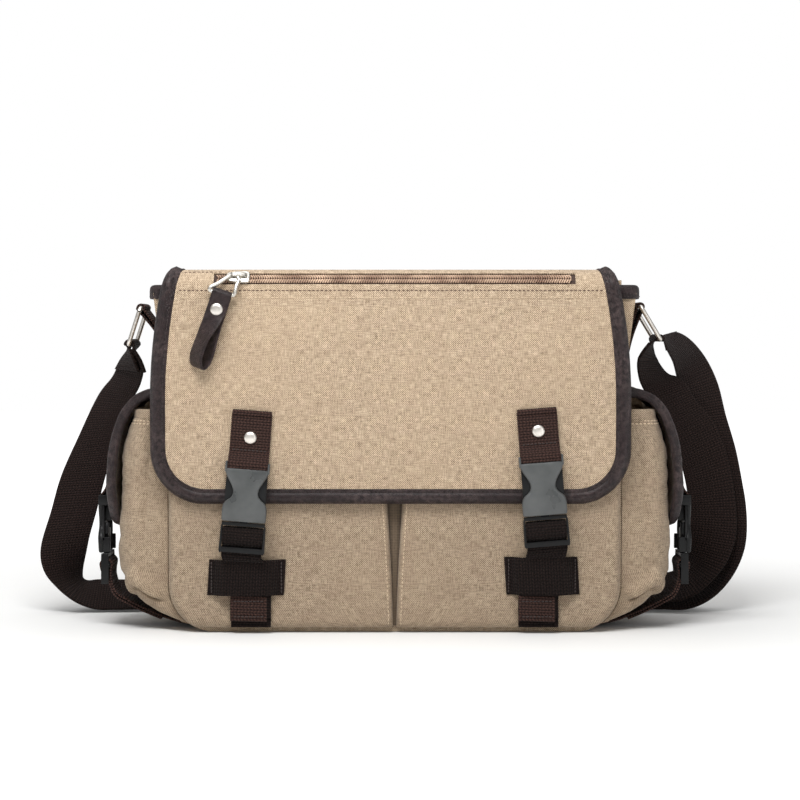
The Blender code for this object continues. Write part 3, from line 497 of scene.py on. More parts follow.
def joined(shapes):
    """Several skins as one list of points and faces."""
    points, faces = [], []
    for some, more in shapes:
        faces += [tuple(i + len(points) for i in face) for face in more]
        points += list(some)
    return points, faces


def route_lengths(route):
    route = np.asarray(route, float)
    steps = np.linalg.norm(np.diff(route, axis=0), axis=1)
    return np.concatenate([[0.0], np.cumsum(steps)])


def smooth_route(points, per_span):
    """A Catmull-Rom curve through some points, of any number of coordinates."""
    points = np.asarray(points, float)
    padded = np.concatenate([points[:1], points, points[-1:]])
    route = []
    for i in range(1, len(padded) - 2):
        a, b, c, d = padded[i - 1:i + 3]
        for step in range(per_span):
            t = step / per_span
            route.append(0.5 * (2 * b + (c - a) * t + (2 * a - 5 * b + 4 * c - d) * t ** 2
                                + (3 * b - a - 3 * c + d) * t ** 3))
    return np.array(route + [points[-1]])


def even_route(points, step):
    """A route of any number of coordinates, read again at even steps along its first three."""
    points = np.asarray(points, float)
    lengths = route_lengths(points[:, :3])
    places = np.linspace(0, lengths[-1], max(2, int(round(lengths[-1] / step)) + 1))
    return np.stack([np.interp(places, lengths, points[:, k]) for k in range(points.shape[1])], axis=1)


def tube(name, route, radius, material, body, replaces, sides=12):
    """A round wire whose ends meet."""
    route = np.asarray(route, float)
    count = len(route)
    rings = []
    for i, middle in enumerate(route):
        along = unit(route[(i + 1) % count] - route[i - 1])
        level = unit(np.cross((0.31, 0.17, 0.93), along))
        rings.append(circle(middle, radius, level, np.cross(along, level), sides))
    points, faces = sweep(rings, closed=True)
    cloth = np.repeat(np.stack([np.zeros(count), route_lengths(route)], axis=1) * MM, sides, axis=0)
    cloth[:, 0] = np.tile(np.arange(sides) * 2 * math.pi / sides * radius * MM, count)
    return add_mesh(name, points, faces, material, body, replaces, cloth, 60)


def ribbon(name, route, across, width, thickness, material, body, replaces=(), step=1.6, edge=0.35):
    """Webbing: a flat strip with soft edges. The route's points are smoothed and read again at even steps."""
    route = np.asarray(route, float)
    across = np.asarray(across, float)
    if across.ndim == 1:
        across = np.repeat(across[None], len(route), axis=0)
    whole = even_route(smooth_route(np.concatenate([route, across], axis=1), 6), step)
    middles = whole[:, :3]
    half, deep = width / 2, thickness / 2
    profile = [(-half, 0), (-half + edge * 0.4, deep * 0.75), (-half + edge * 2, deep)]
    profile += [(half * k / 6, deep) for k in range(-5, 6)]
    profile += [(half - edge * 2, deep), (half - edge * 0.4, deep * 0.75), (half, 0)]
    profile += [(a, -b) for a, b in reversed(profile[1:-1])]
    rings, cloth = [], []
    lengths = route_lengths(middles)
    for i, middle in enumerate(middles):
        along = middles[min(i + 1, len(middles) - 1)] - middles[max(i - 1, 0)]
        side = unit(whole[i, 3:])
        normal = unit(np.cross(along, side))
        rings.append([middle + side * a + normal * b for a, b in profile])
        cloth += [(a * MM, lengths[i] * MM) for a, _ in profile]
    points, faces = sweep(rings)
    thing = add_mesh(name, points, faces, material, body, replaces, cloth, 50)
    return thing, middles


def stitches(name, rows, pitch, length, radius, material, body):
    """Sewn stitches: short threads along each row, a row being its points and the way out of the cloth."""
    threads = []
    shape = [(-0.5, 0.35, -0.5), (-0.3, 1.0, 0.35), (0.3, 1.0, 0.35), (0.5, 0.35, -0.5)]
    for route, outward in rows:
        route = np.asarray(route, float)
        outward = np.broadcast_to(np.asarray(outward, float), route.shape)
        places = even_route(np.concatenate([route, outward], axis=1), pitch)
        for i in range(len(places) - 1):
            a, b = places[i], places[i + 1]
            along = unit(b[:3] - a[:3])
            out = unit(a[3:] + b[3:])
            side = np.cross(along, out)
            middle = (a[:3] + b[:3]) / 2
            threads.append(sweep([circle(middle + along * (share * length) + out * (lift * radius),
                                         size * radius, side, out, THREAD_SIDES) for share, size, lift in shape]))
    points, faces = joined(threads)
    return add_mesh(name, points, faces, material, body, angle=80)


def rounded_copy(node, material, body):
    """A CAD node's shape with its flat faces whole again and its edges rounded over."""
    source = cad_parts[node].data
    bm = bmesh.new()
    bm.from_mesh(source)
    bmesh.ops.remove_doubles(bm, verts=bm.verts, dist=1e-6)
    bmesh.ops.dissolve_limit(bm, angle_limit=math.radians(1.0), verts=bm.verts, edges=bm.edges)
    mesh = bpy.data.meshes.new(f"{node}_moulded")
    bm.to_mesh(mesh)
    bm.free()
    mesh.materials.clear()
    mesh.materials.append(material)
    thing = bpy.data.objects.new(mesh.name, mesh)
    bpy.context.scene.collection.objects.link(thing)
    bevel = thing.modifiers.new("rounding", "BEVEL")
    bevel.width = MOULD_ROUNDING * MM
    bevel.segments = 3
    bevel.limit_method = "ANGLE"
    bevel.angle_limit = math.radians(25)
    mesh.shade_smooth()
    apply_modifiers(thing)
    thing.data.set_sharp_from_angle(angle=math.radians(35))
    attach(thing, body)
    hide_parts(node)
    return thing


def apply_modifiers(thing):
    bpy.context.view_layer.update()
    made = bpy.data.meshes.new_from_object(thing.evaluated_get(bpy.context.evaluated_depsgraph_get()))
    thing.modifiers.clear()
    thing.data = made


def rumple(x, y, z, size, seed):
    """A smooth wandering number between about -1 and 1."""
    return 1.6 * noise.noise(Vector((x / size + seed * 7.3, y / size - seed * 3.1, z / size + seed)))


def dent(u, s, at_u, at_s, wide, tall, lean, depth):
    """A long soft hollow in cloth, leaning some degrees from straight down."""
    a = math.radians(lean)
    across = (u - at_u) * math.cos(a) + (s - at_s) * math.sin(a)
    along = (s - at_s) * math.cos(a) - (u - at_u) * math.sin(a)
    return depth * math.exp(-(across / wide) ** 2 - (along / tall) ** 2)


def ease(t):
    t = min(max(t, 0.0), 1.0)
    return t * t * (3 - 2 * t)


def arc(centre, radius, start, end, steps):
    angles = np.radians(np.linspace(start, end, steps + 1))
    return [(centre[0] + radius * math.cos(a), centre[1] + radius * math.sin(a)) for a in angles]


# Body and pockets ---------------------------------------------------------------------------

def body_half(z):
    """Half width of the body at a height, round its bottom corners too."""
    if z < CORNER:
        return LOWER_HALF - CORNER + math.sqrt(max(CORNER ** 2 - (CORNER - z) ** 2, 0.0))
    share = (z - FLARE_START) / (MOUTH_Z - FLARE_START)
    return LOWER_HALF + (UPPER_HALF - LOWER_HALF) * min(max(share, 0.0), 1.0)


def body_path(top):
    """The body's outline as (x, z): down the right side, along the bottom and up the left side."""
    right = [(body_half(z), z) for z in np.linspace(top, CORNER, 30)[:-1]]
    right += arc((LOWER_HALF - CORNER, CORNER), CORNER, 0, -90, 14)
    bottom = [(x, 0.0) for x in np.linspace(LOWER_HALF - CORNER, 0, 12)[1:]]
    half = right + bottom
    return half + [(-x, z) for x, z in reversed(half[:-1])]


def panel_heights(top):
    low = [CORNER - CORNER * math.cos(a) for a in np.linspace(0.12, math.pi / 2, 9)]
    return low + list(np.linspace(CORNER + 6, top, 34))


def make_body(m):
    shares = np.linspace(-1, 1, 49)
    for name, node, y, top, way in (("front_cloth", "front_panel", FRONT_Y, MOUTH_Z, -1),
                                    ("back_cloth", "back_panel", BACK_Y, BACK_TOP_Z, 1)):
        grid = []
        for z in panel_heights(top):
            row = []
            for share in shares:
                x = share * (body_half(z) - 0.4)
                middle = (1 - share ** 2) * math.sin(math.pi * min(z / top, 1.0)) ** 0.8
                if way < 0:
                    puff = -1.0 * ease((z - 150) / 40) * (1 - share ** 4) * math.sin(math.pi * min(z / 268, 1))
                else:
                    puff = 3.2 * middle + 0.9 * rumple(x, y, z, 70, 2) * middle ** 0.5
                row.append((x, y + puff, z))
            grid.append(row)
        cloth_sheet(name, grid, 2.0, m["canvas"], "bag", (node,), outward=(0, way * 400, 120))
    grid = []
    for x, z in body_path(MOUTH_Z):
        row = []
        for share in np.linspace(-1, 1, 25):
            y = 1.5 + share * 49.0
            hollow = 2.4 * (1 - share ** 2) * ease((z - 150) / 50) * (1 - 0.5 * ease((z - 235) / 20))
            hollow += 0.7 * rumple(x, y, z, 45, 5) * (1 - share ** 4) * ease((z - 20) / 30)
            row.append((x - math.copysign(hollow, x), y, z))
        grid.append(row)
    cloth_sheet("side_and_bottom_cloth", grid, 1.9, m["canvas"], "bag", ("gusset",), outward=(0, 0, -400))
    put_material("lining", m["lining"])


def make_mouth_binding(m):
    """The leather that caps the bag's mouth at its front and sides."""
    half, front, rear, corner = UPPER_HALF - 0.5, -48.4, 48.5, 7.0
    plan = [(-half, y) for y in np.linspace(rear, front + corner, 24)]
    plan += [(x, y) for x, y in arc((-half + corner, front + corner), corner, 180, 270, 7)][1:]
    plan += [(x, front) for x in np.linspace(-half + corner, half - corner, 60)][1:]
    plan += [(x, y) for x, y in arc((half - corner, front + corner), corner, 270, 360, 7)][1:]
    plan += [(half, y) for y in np.linspace(front + corner, rear, 24)][1:]
    section = [(2.4, -5.5), (3.1, -5.8), (3.5, -4.6), (3.5, 0), (3.2, 2.6), (2.0, 4.3), (0, 4.9), (-2.0, 4.3),
               (-3.1, 2.6), (-3.3, 0), (-3.3, -4.6), (-2.9, -5.8), (-2.3, -5.5), (-2.1, 0), (2.1, 0)]
    rings, count = [], len(plan)
    for i, (x, y) in enumerate(plan):
        along = unit(np.array([*plan[min(i + 1, count - 1)], 0.0]) - np.array([*plan[max(i - 1, 0)], 0.0]))
        out = np.cross(along, (0, 0, 1))
        swell = 0.25 * rumple(x, y, 0, 11, 3)
        rings.append([np.array([x, y, MOUTH_Z + 1.2 + b]) + out * (a * (1 + 0.06 * swell) + (swell if a > 0 else 0))
                      for a, b in section])
    points, faces = sweep(rings)
    add_mesh("mouth_binding", points, faces, m["leather"], "bag", ("opening_binding",), angle=50)
    row = [(x, y, MOUTH_Z - 2.6) for x, y in plan[2:-2]]
    outs = [(-1, 0, 0) if x < -half + 1 else (1, 0, 0) if x > half - 1 else (0, -1, 0) for x, _, _ in row]
    row = [np.array(p) + np.array(o) * 3.55 for p, o in zip(row, outs)]
    stitches("mouth_binding_stitches", [(row, outs)], 3.0, 2.2, 0.32, m["dark_thread"], "bag")


def pocket_inner_x(z):
    """Where a front pocket's edge beside the middle gap stands at a height."""
    return 0.9 + 5.6 * ease((z - 2) / 165) + 0.012 * z


def front_pocket_depth(side, x, z):
    """How far the front pocket stands off the front panel: rounded down to its seams, and softly full between."""
    radius = CORNER - POCKET_SEAM
    outer = body_half(max(z, POCKET_BOTTOM)) - POCKET_SEAM - x
    centre = LOWER_HALF - CORNER
    if z < CORNER and x > centre:
        outer = radius - math.hypot(x - centre, CORNER - z)
    inner = x - pocket_inner_x(z)
    rim = lambda d, r: math.sqrt(max(1 - (1 - min(max(d, 0) / r, 1)) ** 2, 0))
    lift = 7.6 * rim(outer, 6.5) * rim(inner, 3.2) * (0.45 + 0.55 * rim(z - POCKET_BOTTOM, 7))
    full = min(outer / 30, 1) * min(inner / 30, 1) * min((z - 4) / 25, 1)
    full = max(full, 0) * (0.9 * rumple(side * x, 0, z, 55, 11) + 0.45 * rumple(side * x, 0, z, 22, 4))
    pucker = 0.4 * math.sin(z / 3.1) * math.exp(-max(outer, 0) / 5) * rim(outer, 2)
    return lift + full + pucker


def make_front_pockets(m):
    for side, name in SIDES.items():
        grid = []
        spots = np.concatenate([np.linspace(0, 0.05, 8)[:-1], np.linspace(0.05, 0.94, 40), np.linspace(0.94, 1, 9)[1:]])
        heights = np.concatenate([np.linspace(POCKET_BOTTOM, 12, 7)[:-1], np.linspace(12, POCKET_TOP, 40)])
        for z in heights:
            low, high = pocket_inner_x(z), body_half(max(z, POCKET_BOTTOM)) - POCKET_SEAM
            row = []
            for share in spots:
                x = low + (high - low) * share
                depth = front_pocket_depth(side, x, z)
                row.append((side * x, FRONT_Y - 0.5 - depth, z))
            grid.append(row)
        cloth_sheet(f"{name}_front_pocket_cloth", grid, 1.3, m["pocket"], "bag", (f"{name}_front_pocket",),
                    outward=(side * 80, -400, 70))
        row = [(pocket_inner_x(z) + 3.6, z) for z in np.linspace(6, 146, 60)]
        row = [(side * x, FRONT_Y - 0.45 - front_pocket_depth(side, x, z), z) for x, z in row]
        stitches(f"{name}_front_pocket_stitches", [(row, (0, -1, 0))], 3.1, 2.2, 0.3, m["pale_thread"], "bag")
    # A strip in the dark lining colour behind the gap between the front pockets: painted shade, standing in for the
    # shadow inside the gap.
    grid = [[(x * (pocket_inner_x(z) + 1.5), FRONT_Y - 0.6 - 1.1 * (1 - x * x), z) for x in np.linspace(-1, 1, 9)]
            for z in np.linspace(POCKET_BOTTOM + 1, POCKET_TOP - 2, 40)]
    cloth_sheet("pocket_gap_shade_strip", grid, 0.4, m["lining"], "bag", outward=(0, -400, 70))


def side_pocket_outer(z):
    heights = (4, 8, 14, 20, 30, 45, 60, 80, 100, 120, 140, 154, HEM_Z)
    widths = (152, 163, 180, 191, 201.5, 209, 210.5, 209.5, 209, 208.5, 206.5, 203, 196)
    return float(np.interp(z, heights, widths))


def side_pocket_point(side, t, z):
    """A point on the side pocket: t runs from 0 at its front seam, round the outside, to 1 at its back seam."""
    outer, inner, front, back = side_pocket_outer(z), min(body_half(z), LOWER_HALF) + 0.5, -47.5, 49.5
    outer = max(outer, inner + 4)
    radius = min(17.0, (outer - inner) * 0.75)
    across, deep, turn = outer - inner - radius, back - front - 2 * radius, math.pi / 2 * radius
    s = t * (2 * across + 2 * turn + deep)
    if s < across:
        x, y, n = inner + s, front, (0, -1)
    elif s < across + turn:
        a = (s - across) / radius
        n = (math.sin(a), -math.cos(a))
        x, y = outer - radius + radius * n[0], front + radius + radius * n[1]
    elif s < across + turn + deep:
        x, y, n = outer, front + radius + (s - across - turn), (1, 0)
    elif s < across + 2 * turn + deep:
        a = (s - across - turn - deep) / radius
        n = (math.cos(a), math.sin(a))
        x, y = outer - radius + radius * n[0], back - radius + radius * n[1]
    else:
        x, y, n = outer - radius - (s - across - 2 * turn - deep), back, (0, 1)
    held = min(min(t, 1 - t) / 0.08, 1.0)
    soft = 1.6 * rumple(side * x, y, z * 0.8, 24, 9) + 0.7 * rumple(side * x, y, z * 1.6, 11, 6)
    fold_z = 24 + 12 * math.exp(-((t - 0.17) / 0.07) ** 2) + 10 * math.exp(-((t - 0.84) / 0.09) ** 2)
    rise = z - fold_z
    ends = math.exp(-((t - 0.15) / 0.13) ** 2) + math.exp(-((t - 0.85) / 0.13) ** 2)
    crease = ends * (4.4 * math.exp(-((rise - 6) / 4.5) ** 2) - 4.6 * math.exp(-((rise + 1.2) / 2.1) ** 2))
    pleat = (-1.6 * math.exp(-((t - 0.09 - 0.02 * math.sin(z / 40)) / 0.014) ** 2)
             * ease((z - 40) / 40) * ease((165 - z) / 40))
    push = held * (soft * ease((z - 8) / 20) * (1 - 0.6 * ease((z - 145) / 20)) + crease + pleat)
    droop = held * ends * 4.6 * math.exp(-((rise - 3.5) / 3.0) ** 2)
    lift = 10.0 * ease((t - 0.6) / 0.22) * (z / HEM_Z) ** 3
    return side * (x + n[0] * push), y + n[1] * push, z - droop + lift


def make_side_pockets(m):
    for side, name in SIDES.items():
        heights = np.concatenate([np.linspace(7, 52, 40)[:-1], np.linspace(52, HEM_Z, 36)])
        turns = np.linspace(0, 1, 97)
        grid = [[side_pocket_point(side, t, z) for t in turns] for z in heights]
        cloth_sheet(f"{name}_side_pocket_cloth", grid, 1.4, m["pocket"], "bag", (f"{name}_side_pocket",),
                    outward=(side * 600, 0, 80))
        base = []
        for share in np.linspace(0, 1, 8):
            low = [np.array(side_pocket_point(side, t, 7.0)) for t in turns]
            base.append([p * (1 - share) + np.array([side * 150, p[1], 4.5]) * share for p in low])
        cloth_sheet(f"{name}_side_pocket_base", base, 1.2, m["pocket"], "bag", outward=(side * 190, 0, -200))
        hem = [np.array(side_pocket_point(side, t, HEM_Z - 4.4)) for t in turns]
        outs = [unit(p - np.array([side * 176, 1, HEM_Z - 4.4])) * (1, 1, 0) for p in hem]
        section = [(0.2, -4.6), (0.9, -4.2), (1.0, 0), (0.9, 3.2), (0.3, 4.6), (-1.0, 4.8), (-2.0, 3.6), (-2.1, -4.4)]
        rings = [[p + o * a + np.array([0, 0, b]) for a, b in section] for p, o in zip(hem, outs)]
        points, faces = sweep(rings)
        lengths = route_lengths(hem)
        cloth = [(b * MM, s * MM) for s in lengths for _, b in section]
        add_mesh(f"{name}_side_pocket_hem", points, faces, m["pocket"], "bag", cloth=cloth, angle=60)
        rows = []
        for drop in (8.5, 10.7):
            row = [np.array(side_pocket_point(side, t, HEM_Z - drop)) for t in turns]
            rows.append((row, [unit(p - np.array([side * 176, 1, p[2]])) for p in row]))
        stitches(f"{name}_side_pocket_stitches", rows, 3.2, 2.3, 0.5, m["pale_thread"], "bag")


# Flaps --------------------------------------------------------------------------------------

class Flap:
    """A bound flap that hangs over a fold: u runs across it, s down its outer face, depth into it."""

    def __init__(self, profile, half, corner, place):
        self.points = np.asarray(profile, float)
        self.reach = route_lengths(self.points)
        self.length = self.reach[-1]
        self.half = half
        self.corner = corner
        self.place = place
        ahead = np.concatenate([self.points[1:], self.points[-1:]])
        behind = np.concatenate([self.points[:1], self.points[:-1]])
        along = ahead - behind
        self.inward = np.stack([along[:, 1], -along[:, 0]], axis=1)
        self.inward /= np.linalg.norm(self.inward, axis=1, keepdims=True)

    def point(self, u, s, depth):
        s = min(max(s, 0.0), self.length)
        h = np.interp(s, self.reach, self.points[:, 0])
        z = np.interp(s, self.reach, self.points[:, 1])
        n = unit([np.interp(s, self.reach, self.inward[:, k]) for k in (0, 1)])
        return np.array(self.place(u, h + n[0] * depth, z + n[1] * depth))

    def half_at(self, s, inset):
        start = self.length - self.corner
        if s <= start:
            return self.half(s) - inset
        radius = self.corner - inset
        return self.half(start) - self.corner + math.sqrt(max(radius ** 2 - (s - start) ** 2, 0.0))

    def corner_heights(self, inset, steps):
        """Lengths down the flap for rows of cloth that follow its rounded corners."""
        start = self.length - self.corner
        return [start + (self.corner - inset) * math.sin(a) for a in np.linspace(0, math.pi / 2, steps)]

    def rim(self, steps):
        """The rim as (u, s) and its inward direction, from the top left round the bottom to the top right."""
        start, radius = self.length - self.corner, self.corner
        centre = self.half(start) - self.corner
        left = [((-self.half(s), s), (1.0, 0.0)) for s in np.linspace(0, start, steps)[:-1]]
        for a in np.radians(np.linspace(0, 90, 13)):
            left.append(((-centre - radius * math.cos(a), start + radius * math.sin(a)), (math.cos(a), -math.sin(a))))
        bottom = [((u, self.length), (0.0, -1.0)) for u in np.linspace(-centre, centre, max(steps, 4))[1:-1]]
        return left + bottom + [((-u, s), (-a, b)) for (u, s), (a, b) in reversed(left)]


def main_flap_half(s):
    share = min(s / 110.0, 1.0)
    return FLAP_TOP_HALF + (FLAP_MID_HALF - FLAP_TOP_HALF) * (1 - (1 - share) ** 2)


def binding_piece(name, flap, steps, width, swell, deep, m, body, replaces):
    """A leather strip folded over a flap's rim and sewn along its inner edge."""
    section = [(width, 0.5), (width - 0.3, -0.5), (width - 1.4, -0.95), (width - 2.0, -0.5), (width - 3.0, -0.5),
               (width - 3.7, -1.2), (width * 0.42, -1.3 - swell), (width * 0.22, -0.5 - swell * 0.8), (0.4, 0.6),
               (-0.4, deep * 0.5), (0.5, deep - 0.7), (width * 0.3, deep + 0.3), (width * 0.8, deep + 0.2),
               (width, deep - 0.5)]
    rings, row, outs = [], [], []
    for (u, s), (du, ds) in flap.rim(steps):
        ring = []
        for inset, depth in section:
            place = flap.point(u + du * inset, s + ds * inset, depth)
            wrinkle = 0.22 * rumple(*place, 9, 2) + 0.16 * rumple(*place, 4, 5)
            ring.append(flap.point(u + du * inset, s + ds * inset, depth + wrinkle * (1 if depth < 1 else -1)))
        rings.append(ring)
        seam = width - 2.4
        row.append(flap.point(u + du * seam, s + ds * seam, -0.55))
        outs.append(row[-1] - flap.point(u + du * seam, s + ds * seam, 1.0))
    points, faces = sweep(rings)
    add_mesh(name, points, faces, m["leather"], body, replaces, angle=70)
    stitches(f"{name}_stitches", [(row, outs)], 3.2, 2.4, 0.34, m["dark_thread"], body)


def make_flap(m):
    fold = [(FOLD_H + FOLD_R * math.sin(math.radians(a)), FOLD_Z + FOLD_R * math.cos(math.radians(a)))
            for a in range(0, 91, 5)]
    flap = Flap(fold + [(FOLD_H + FOLD_R, z) for z in np.linspace(FOLD_Z - 10, FLAP_BOTTOM_Z, 12)],
                main_flap_half, FLAP_CORNER, lambda u, h, z: (FLAP_SHIFT + u, -h, z))
    zip_s = FOLD_R * math.radians(ZIP_ANGLE)
    inset = BOUND - 2.5
    lip = (zip_s - 5.0, zip_s + 5.0)
    heights = [0.0, 3.0, 6.0, 8.5, lip[0], zip_s, lip[1], 23.5, 26.0, 31.0]
    heights += list(np.linspace(35, flap.length - FLAP_CORNER, 34)[:-1])
    heights += flap.corner_heights(inset, 14)
    edge = (ZIP_HALF - FLAP_SHIFT, ZIP_HALF + FLAP_SHIFT)
    grid = []
    for s in heights:
        half = flap.half_at(s, inset)
        left, right = min(edge[1], half - 1), min(edge[0], half - 1)
        spots = np.concatenate([np.linspace(-half, -left, 10)[:-1], np.linspace(-left, right, 72),
                                np.linspace(right, half, 10)[1:]])
        row = []
        for u in spots:
            rim = min(half - abs(u), flap.length - inset - s)
            soft = min(max(rim, 0) / 30, 1) * ease((s - 30) / 45)
            puff = -soft * (0.4 + 0.9 * rumple(u, 0, s, 62, 8) + 0.4 * rumple(u, 0, s, 24, 3))
            pucker = 0.45 * rumple(u, 3, s, 9, 4) * math.exp(-max(rim, 0) / 9)
            puff += pucker * ease((s - 30) / 30) * ease((rim - 3) / 5)
            puff += dent(u, s, 146, 128, 16, 40, -38, 2.2) + dent(u, s, -150, 132, 14, 36, 32, 1.6)
            puff += dent(u, s, 70, 60, 14, 60, 62, 0.8) + dent(u, s, -40, 120, 12, 50, 74, 0.8)
            puff = max(puff, -2.2) * ease((rim - 2) / 8)
            if abs(s - lip[0]) < 0.01 or abs(s - lip[1]) < 0.01:
                puff -= 0.35
            row.append(flap.point(u, s, puff))
        grid.append(row)
    first_row, first_column, zip_columns = heights.index(lip[0]), 9, 71
    holes = {(first_row + r, first_column + c) for r in (0, 1) for c in range(zip_columns)}
    cloth_sheet("flap_cloth", grid, 1.5, m["canvas"], "flap_front", ("flap_front_panel",), holes,
                outward=(0, -400, 170))
    put_material("flap_lining", m["lining"])
    binding_piece("flap_leather_binding", flap, 52, BOUND, 1.2, 5.0, m, "flap_front", ("flap_binding",))

    rows = []
    for s, reach in ((zip_s + 9.6, 1.0), (zip_s + 15.2, 1.0), (zip_s - 6.8, 0.0)):
        span = flap.half_at(s, BOUND + 1.5)
        left, right = (-span, span) if reach else (-span, -(ZIP_HALF - 9))
        row = [flap.point(u, s, -0.12) for u in np.linspace(left, right, 40)]
        out = flap.point(0, s, -1.0) - flap.point(0, s, 0.0)
        rows.append((row, out))
    stitches("flap_stitches_upper", [rows[0], rows[2]], 3.2, 2.2, 0.33, m["brown_thread"], "flap_front")
    stitches("flap_stitches_lower", [rows[1]], 3.2, 2.2, 0.26, m["pale_thread"], "flap_front")
    make_flap_top(m)
    make_zip(m, flap, zip_s)


def make_flap_top(m):
    """The flap's top, which bends at the fold in front and at its seam behind."""
    top, front, rear = FOLD_Z + FOLD_R, -FOLD_H, BACK_Y - 2.0
    half = FLAP_TOP_HALF - BINDING + 2.5
    grid = []
    for y in np.linspace(front, rear, 34):
        row = []
        for share in np.linspace(-1, 1, 49):
            held = (1 - share ** 6) * math.sin(math.pi * (y - front) / (rear - front))
            sag = held * (0.9 - 0.5 * rumple(share * 150, y, 0, 48, 12))
            row.append((FLAP_SHIFT + share * half, y, top - sag))
        grid.append(row)
    cloth = cloth_sheet("flap_top_cloth", grid, 1.8, m["canvas"], None, ("flap_rear_panel",), outward=(0, 0, 900))
    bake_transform(cloth)
    section = [(BINDING, -0.5), (BINDING - 0.6, 0.6), (BINDING - 2.4, 0.9), (BINDING * 0.5, 1.8), (2.2, 1.4),
               (0.4, -0.5), (-0.3, -2.2), (0.5, -4.2), (3.0, -4.9), (BINDING - 1, -4.8), (BINDING, -4.0)]
    for side, name in SIDES.items():
        rings = []
        for y in np.linspace(front, rear, 40):
            ring = []
            for inset, rise in section:
                x = FLAP_SHIFT + side * (FLAP_TOP_HALF - inset)
                ring.append((x, y, top + rise + 0.2 * rumple(x, y, rise, 9, 2)))
            rings.append(ring)
        points, faces = sweep(rings)
        strip = add_mesh(f"{name}_top_leather_binding", points, faces, m["leather"], None,
                         (f"{name}_flap_top_binding",), angle=70)
        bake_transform(strip)

    seam = [(BACK_Y + 1.2, BACK_TOP_Z - 16), (BACK_Y + 1.5, BACK_TOP_Z - 6), (BACK_Y + 1.4, BACK_TOP_Z + 1.5),
            (BACK_Y - 0.3, BACK_TOP_Z + 4.6), (BACK_Y - 3.2, top + 0.5), (BACK_Y - 8, top + 0.7),
            (BACK_Y - 15, top + 0.3)]
    line = even_route(smooth_route([(0, y, z) for y, z in seam], 6), 1.8)
    grid = [[(FLAP_SHIFT * ease((z - 255) / 18) + share * (UPPER_HALF - 5 - 12 * ease((z - 262) / 10)), y, z)
             for share in np.linspace(-1, 1, 41)] for _, y, z in line]
    strip = cloth_sheet("rear_fold_cloth", grid, 1.2, m["canvas"], None, outward=(0, 500, 500))
    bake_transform(strip)


def make_zip(m, flap, zip_s):
    grid = [[flap.point(u, s, 1.2) for u in np.linspace(-ZIP_HALF - 3 - FLAP_SHIFT, ZIP_HALF + 3 - FLAP_SHIFT, 60)]
            for s in np.linspace(zip_s - 9, zip_s + 8, 9)]
    cloth_sheet("zip_tape_cloth", grid, 0.6, m["tape"], "flap_front", ("zip_tape",), outward=(0, -300, 500))
    turns = []
    reach = ZIP_HALF - 3
    for row, lean in ((-2.0, 1), (2.0, -1)):
        for x in np.arange(-reach, reach, COIL_PITCH):
            ends = []
            for k, rise in ((-1.35, 0.0), (-0.8, 0.75), (0.0, 0.95), (0.8, 0.75), (1.35, 0.0)):
                place = flap.point(x - FLAP_SHIFT + lean * k * 0.6, zip_s + row + k, 0.75 - rise)
                ends.append(place)
            rings = []
            for i, place in enumerate(ends):
                along = unit(ends[min(i + 1, 4)] - ends[max(i - 1, 0)])
                side = unit(np.cross(along, (0.2, -0.7, 0.7)))
                rings.append(circle(place, COIL_RADIUS, side, np.cross(side, along), THREAD_SIDES))
            turns.append(sweep(rings))
    points, faces = joined(turns)
    add_mesh("zip_coil", points, faces, m["coil"], "flap_front", ("zip_teeth",), angle=80)
    make_slider(m, flap, zip_s)


